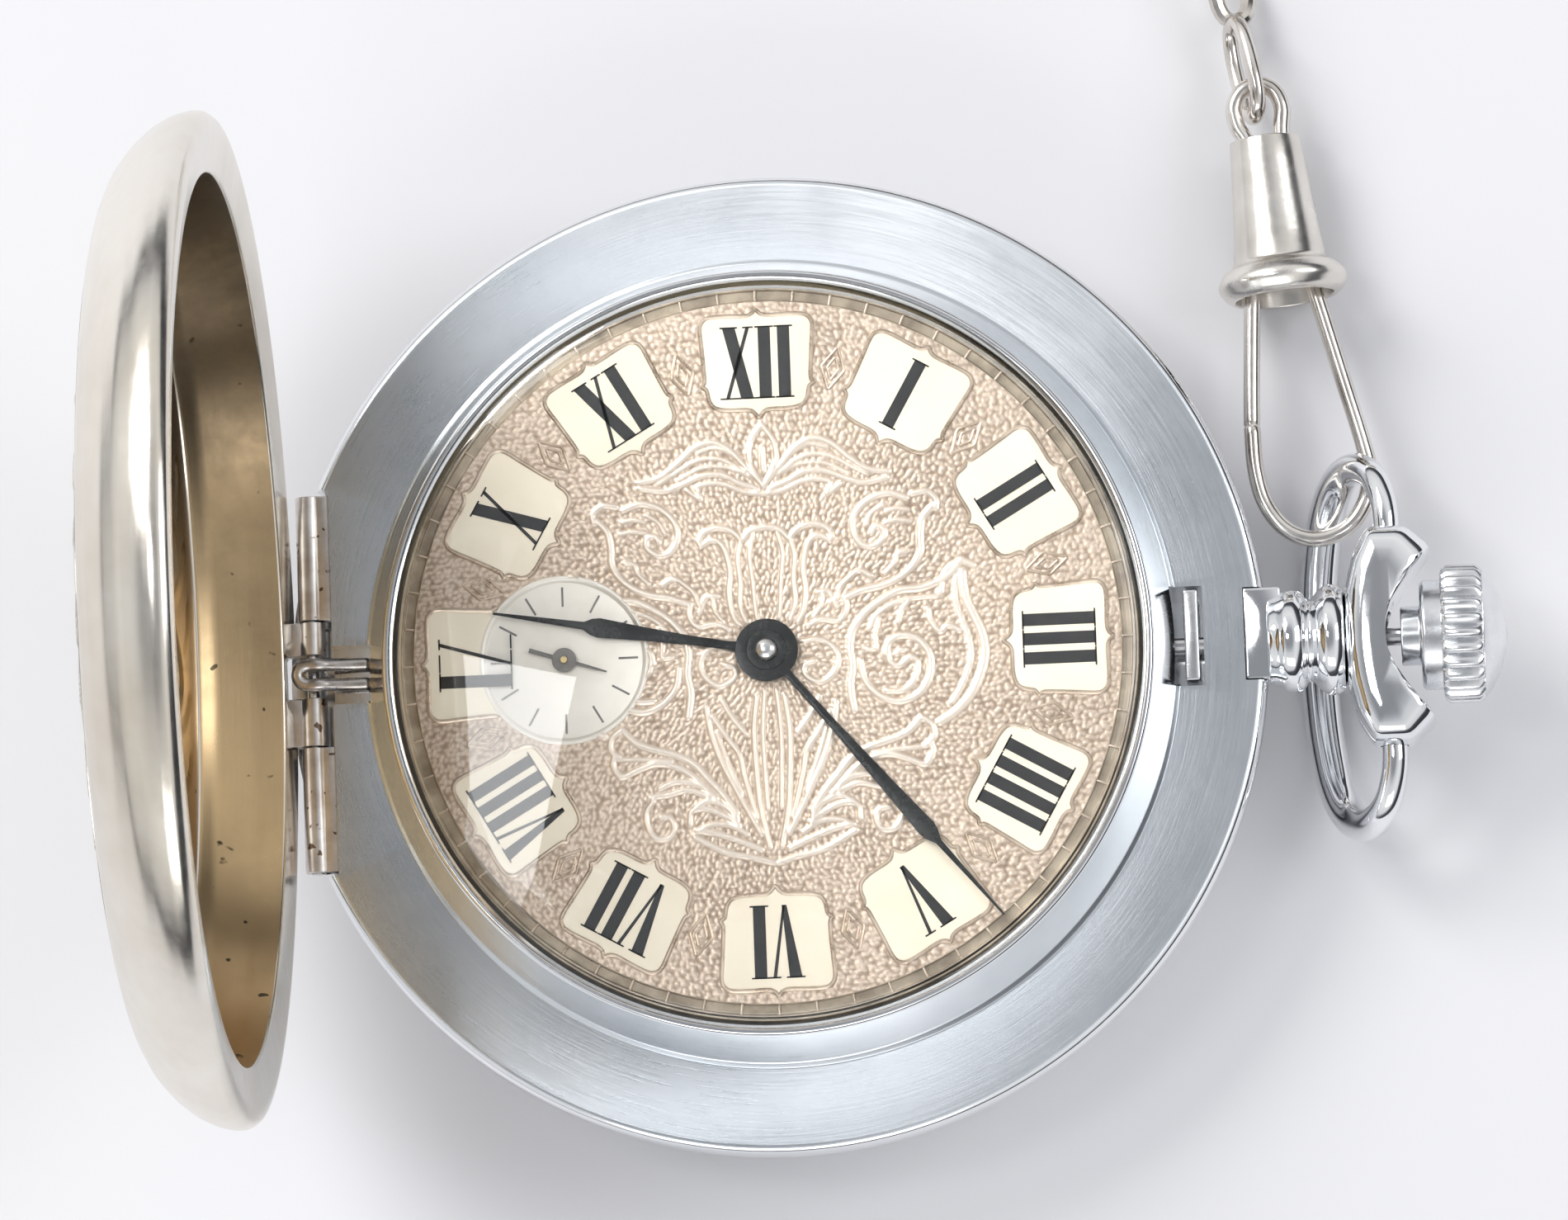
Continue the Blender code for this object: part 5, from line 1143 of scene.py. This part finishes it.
def make_dial():
    """The field with its relief, the minute track and the small seconds dial."""
    picture, ground = dial_relief()
    steps = 1100
    radii = list(np.linspace(1.0, DIAL_R, 190))

    def top(x, y, r):
        height = LINE_HEIGHT * picture.sample(x, y) + PEBBLE_HEIGHT * picture.sample(x, y, ground)
        return np.where(np.hypot(x - SUB_X, y) < SUB_R + 0.05, SUB_BED_Z, FIELD_Z + height)

    shape = polar_solid(radii, steps, top, lambda x, y, r: DIAL_BACK_Z, bore=True)
    field = piece("dial_field", shape, DIAL, "case", ("dial",), 70.0)
    # The dial's material reads its colour, with painted shade in the hollows, from the height, so the mesh
    # carries it along.
    relief = field.data.attributes.new("relief", "FLOAT", "POINT")
    heights = (np.array([p[2] for p in shape.points]) - FIELD_Z) / 0.105
    relief.data.foreach_set("value", np.clip(heights * 0.95 + 0.04, 0.0, 1.0).astype(np.float32))

    channel = [(DIAL_R, DIAL_BACK_Z), (DIAL_R, 12.46), (17.99, 12.46), (18.02, 12.33), (18.5, 12.33),
               (18.54, 12.5), (18.66, 12.5), (18.66, DIAL_BACK_Z)]
    turned_solid("minute_channel", channel, TRACK, "case", (), 0.03)
    round_marks("minute_ticks", 60, (17.96, -0.05, 12.3), (18.54, 0.05, 12.455), 0.02, RAISED)

    bowl = [(0.0, 12.31), (0.6, 12.31), (3.98, 12.31), (4.06, 12.42), (4.16, 12.5), (4.28, 12.5),
            (4.34, 12.43), (4.34, 12.1), (0.0, 12.1)]
    turned_solid("sub_dial", bowl, SUB_DIAL, "case", (), 0.03, 160,
                 Matrix.Translation((SUB_X, 0.0, 0.0)))
    round_marks("sub_dial_marks", 12, (2.75, -0.055, 12.29), (3.75, 0.055, 12.325), 0.01, GREY_PRINT, SUB_X)


def cartouche_outline():
    """Outline (u, v) of a numeral's plate: u to the right, v away from the dial's middle."""
    half = [(0.0, 2.72), (0.22, 2.52), (0.6, 2.42), (1.5, 2.44), (2.3, 2.42), (2.68, 2.25), (2.86, 1.85),
            (2.8, 0.9), (2.72, -0.2), (2.7, -0.9), (2.82, -1.15), (2.6, -1.35), (2.48, -1.9), (2.2, -2.25),
            (1.6, -2.4), (0.6, -2.42), (0.25, -2.55), (0.0, -2.82)]
    return smooth_path(half + [(-u, v) for u, v in reversed(half[1:-1])], 4, closed=True)


# Each letter: its width, its strokes on a height of 1, and where its serifs start and end.
GLYPHS = {
    "I": (0.98, [[(0.18, 0.0), (0.8, 0.0), (0.8, 1.0), (0.18, 1.0)]], [(0.02, 0.96)]),
    "V": (1.72, [[(0.12, 1.0), (0.76, 1.0), (1.06, 0.0), (0.82, 0.0)],
                 [(1.42, 1.0), (1.6, 1.0), (1.02, 0.0), (0.9, 0.0)]],
          [(-0.02, 0.92), (1.2, 1.8)]),
    "X": (1.78, [[(0.14, 1.0), (0.78, 1.0), (1.66, 0.0), (1.02, 0.0)],
                 [(1.36, 1.0), (1.54, 1.0), (0.42, 0.0), (0.24, 0.0)]],
          [(0.02, 0.92), (1.18, 1.72)]),
}
NUMERALS = ("XII", "I", "II", "III", "IIII", "V", "VI", "VII", "VIII", "IX", "X", "XI")
NUMERAL_HEIGHT = 3.7
NUMERAL_WIDTH = 4.35                # a wider numeral is squeezed to this
HOUR = 30.0                         # degrees


def numeral_parts(text):
    """Flat outlines (u, v) of a roman numeral, centred."""
    height = NUMERAL_HEIGHT
    wide = sum(GLYPHS[c][0] for c in text)
    squeeze = min(1.0, NUMERAL_WIDTH / wide)
    at = -wide * squeeze * 0.5
    shapes = []
    for c in text:
        advance, bars, feet = GLYPHS[c]
        for bar in bars:
            shapes.append([(at + u * squeeze, (v - 0.5) * height) for u, v in bar])
        levels = [0.5] if c == "V" else [0.5, -0.5]
        for low, high in feet:
            for level in levels:
                a, b = at + low * squeeze, at + high * squeeze
                if c == "X" and level < 0:
                    a, b = a - 0.06, b + 0.12
                v0 = level * height - math.copysign(0.07, level)
                v1 = level * height + math.copysign(0.01, level)
                shapes.append([(a, v0), (b, v0), (b, v1), (a, v1)])
        at += advance * squeeze
    return shapes


def make_numerals():
    """Twelve plates with their borders and numerals, and the diamonds between them."""
    outline = cartouche_outline()
    plates, borders, figures, gems = Shape(), Shape(), Shape(), Shape()
    # The numeral at nine is made apart, because the small seconds dial is cut out of it.
    cut_plates, cut_borders, cut_figures = Shape(), Shape(), Shape()

    def radial(u, v, z, angle):
        """A point beside the middle of the ring of plates, seen from the dial's centre."""
        out, right = (math.cos(angle), math.sin(angle)), (math.sin(angle), -math.cos(angle))
        reach = CARTOUCHE_R + v
        return (out[0] * reach + right[0] * u, out[1] * reach + right[1] * u, z)

    for k, text in enumerate(NUMERALS):
        angle = math.radians(90.0 - HOUR * k)
        nine = text == "IX"
        rings = []
        for z, scale in ((12.1, 1.0), (12.49, 1.0), (12.515, 0.93)):
            rings.append([radial(u * scale, v * scale, z, angle) for u, v in outline])
        (cut_plates if nine else plates).add(*stack_parts(rings))
        line = [radial(u, v, 12.475, angle) for u, v in outline]
        (cut_borders if nine else borders).add(*tube_parts(line, 0.115, 10, closed=True))
        for bar in numeral_parts(text):
            area = sum(bar[i - 1][0] * bar[i][1] - bar[i][0] * bar[i - 1][1] for i in range(len(bar)))
            loop = bar if area > 0 else bar[::-1]
            rings = [[radial(u, v, z, angle) for u, v in loop] for z in (12.48, 12.535)]
            (cut_figures if nine else figures).add(*stack_parts(rings))
        middle = math.radians(75.0 - HOUR * k)
        for wide, tall, wire in ((0.6, 1.12, 0.085), (0.3, 0.6, 0.07)):
            corners = [(0.0, tall), (wide, 0.0), (0.0, -tall), (-wide, 0.0)]
            line = []
            for i, (u, v) in enumerate(corners):
                nu, nv = corners[(i + 1) % 4]
                line.extend(radial(u + (nu - u) * t, v + (nv - v) * t, 12.46, middle)
                            for t in (0.06, 0.35, 0.65, 0.94))
            gems.add(*tube_parts(line, wire, 8, closed=True))
    piece("dial_plates", plates, ENAMEL, "case", ())
    piece("dial_borders", borders, RAISED, "case", ())
    piece("dial_numerals", figures, NUMERAL, "case", ())
    piece("dial_diamonds", gems, RAISED, "case", ())
    points, faces = cylinder_parts(4.3, 11.0, 14.0, 96)
    cutter = [(x + SUB_X, y, z) for x, y, z in points], faces
    for name, shape, material, slot in (("dial_plate_nine", cut_plates, ENAMEL, "dial"),
                                        ("dial_border_nine", cut_borders, RAISED, "dial"),
                                        ("dial_numeral_nine", cut_figures, NUMERAL, "black")):
        carve(piece(name, shape, material, "case", ()), cutter)


def make_hand(name, body, cad, z, thick, stations, hub, bore, angle, centre=(0.0, 0.0), tail=None):
    """A steel hand with a ridge down its blade and a bored hub; stations are (distance, half width)."""
    shape = Shape()
    for way, line in ((1.0, stations), (-1.0, tail or [])):
        if not line:
            continue
        rings = []
        for x, w in line:
            rings.append([(way * x, -w, z), (way * x, -w, z + thick * 0.45), (way * x, 0.0, z + thick),
                          (way * x, w, z + thick * 0.45), (way * x, w, z)])
        shape.add(*stack_parts(rings))
    shape.add(*lathed([(bore, z), (hub, z), (hub, z + thick), (bore, z + thick)], 0.05, 72))
    shape.moved(Matrix.Translation((centre[0], centre[1], 0.0)) @ Matrix.Rotation(angle, 4, "Z"))
    piece(name, shape, HAND if cad != "seconds_hand" else GREY_PRINT, body, (cad,))


def make_hands():
    make_hand("hour_pointer", "hour", "hour_hand", 12.64, 0.1,
              [(1.0, 0.3), (2.0, 0.22), (4.0, 0.24), (6.5, 0.36), (8.6, 0.5), (9.0, 0.42), (9.4, 0.2),
               (14.05, 0.06)], 1.5, 0.98, math.atan2(2.52, -13.85))
    make_hand("minute_pointer", "centre", "minute_hand", 12.84, 0.1,
              [(1.0, 0.26), (2.0, 0.19), (5.0, 0.22), (9.0, 0.34), (12.2, 0.47), (12.6, 0.4), (13.1, 0.16),
               (18.1, 0.05)], 1.6, 0.6, math.atan2(-13.95, 11.5))
    make_hand("seconds_pointer", "fourth", "seconds_hand", 12.48, 0.1,
              [(0.3, 0.1), (1.2, 0.08), (2.25, 0.04)], 0.62, 0.17, math.atan2(-0.68, 2.14), (SUB_X, 0.0),
              [(0.3, 0.1), (1.85, 0.12)])
    profile = [(0.0, 9.95), (0.56, 9.95), (0.56, 13.2), (0.47, 13.42), (0.25, 13.55), (0.0, 13.58)]
    arbor = Shape().add(*lathed(profile, 0.05, 48, closed=False))
    piece("hand_arbor", arbor, STEEL, "centre", ("cannon_pinion",))
    turned_solid("minute_collar", [(0.57, 12.94), (1.05, 12.94), (1.0, 13.02), (0.57, 13.02)], HAND, "centre",
                 (), 0.03, 64)


# ---- movement nodes kept from the CAD ---------------------------------------

def dress_movement():
    """Gives the CAD nodes that stay this scene's materials, by the slot name they came with."""
    slots = {"brass": BRASS, "gilt": GILT, "steel": STEEL, "nickel": CLASP, "black": HAND, "dial": SUB_DIAL,
             "polished_case": POLISHED, "brushed_rim": STEEL, "crystal": GLASS, "lid_inside": LID_INSIDE}
    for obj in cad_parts.values():
        if obj.hide_render:
            continue
        for place in obj.material_slots:
            place.material = slots.get(place.material.name.split(".")[0], STEEL)


make_stage()
make_chain()
make_clasp()
make_case()
make_pendant()
make_crown()
make_spring()
make_lid()
make_dial()
make_numerals()
make_hands()
dress_movement()

bpy.context.view_layer.update()
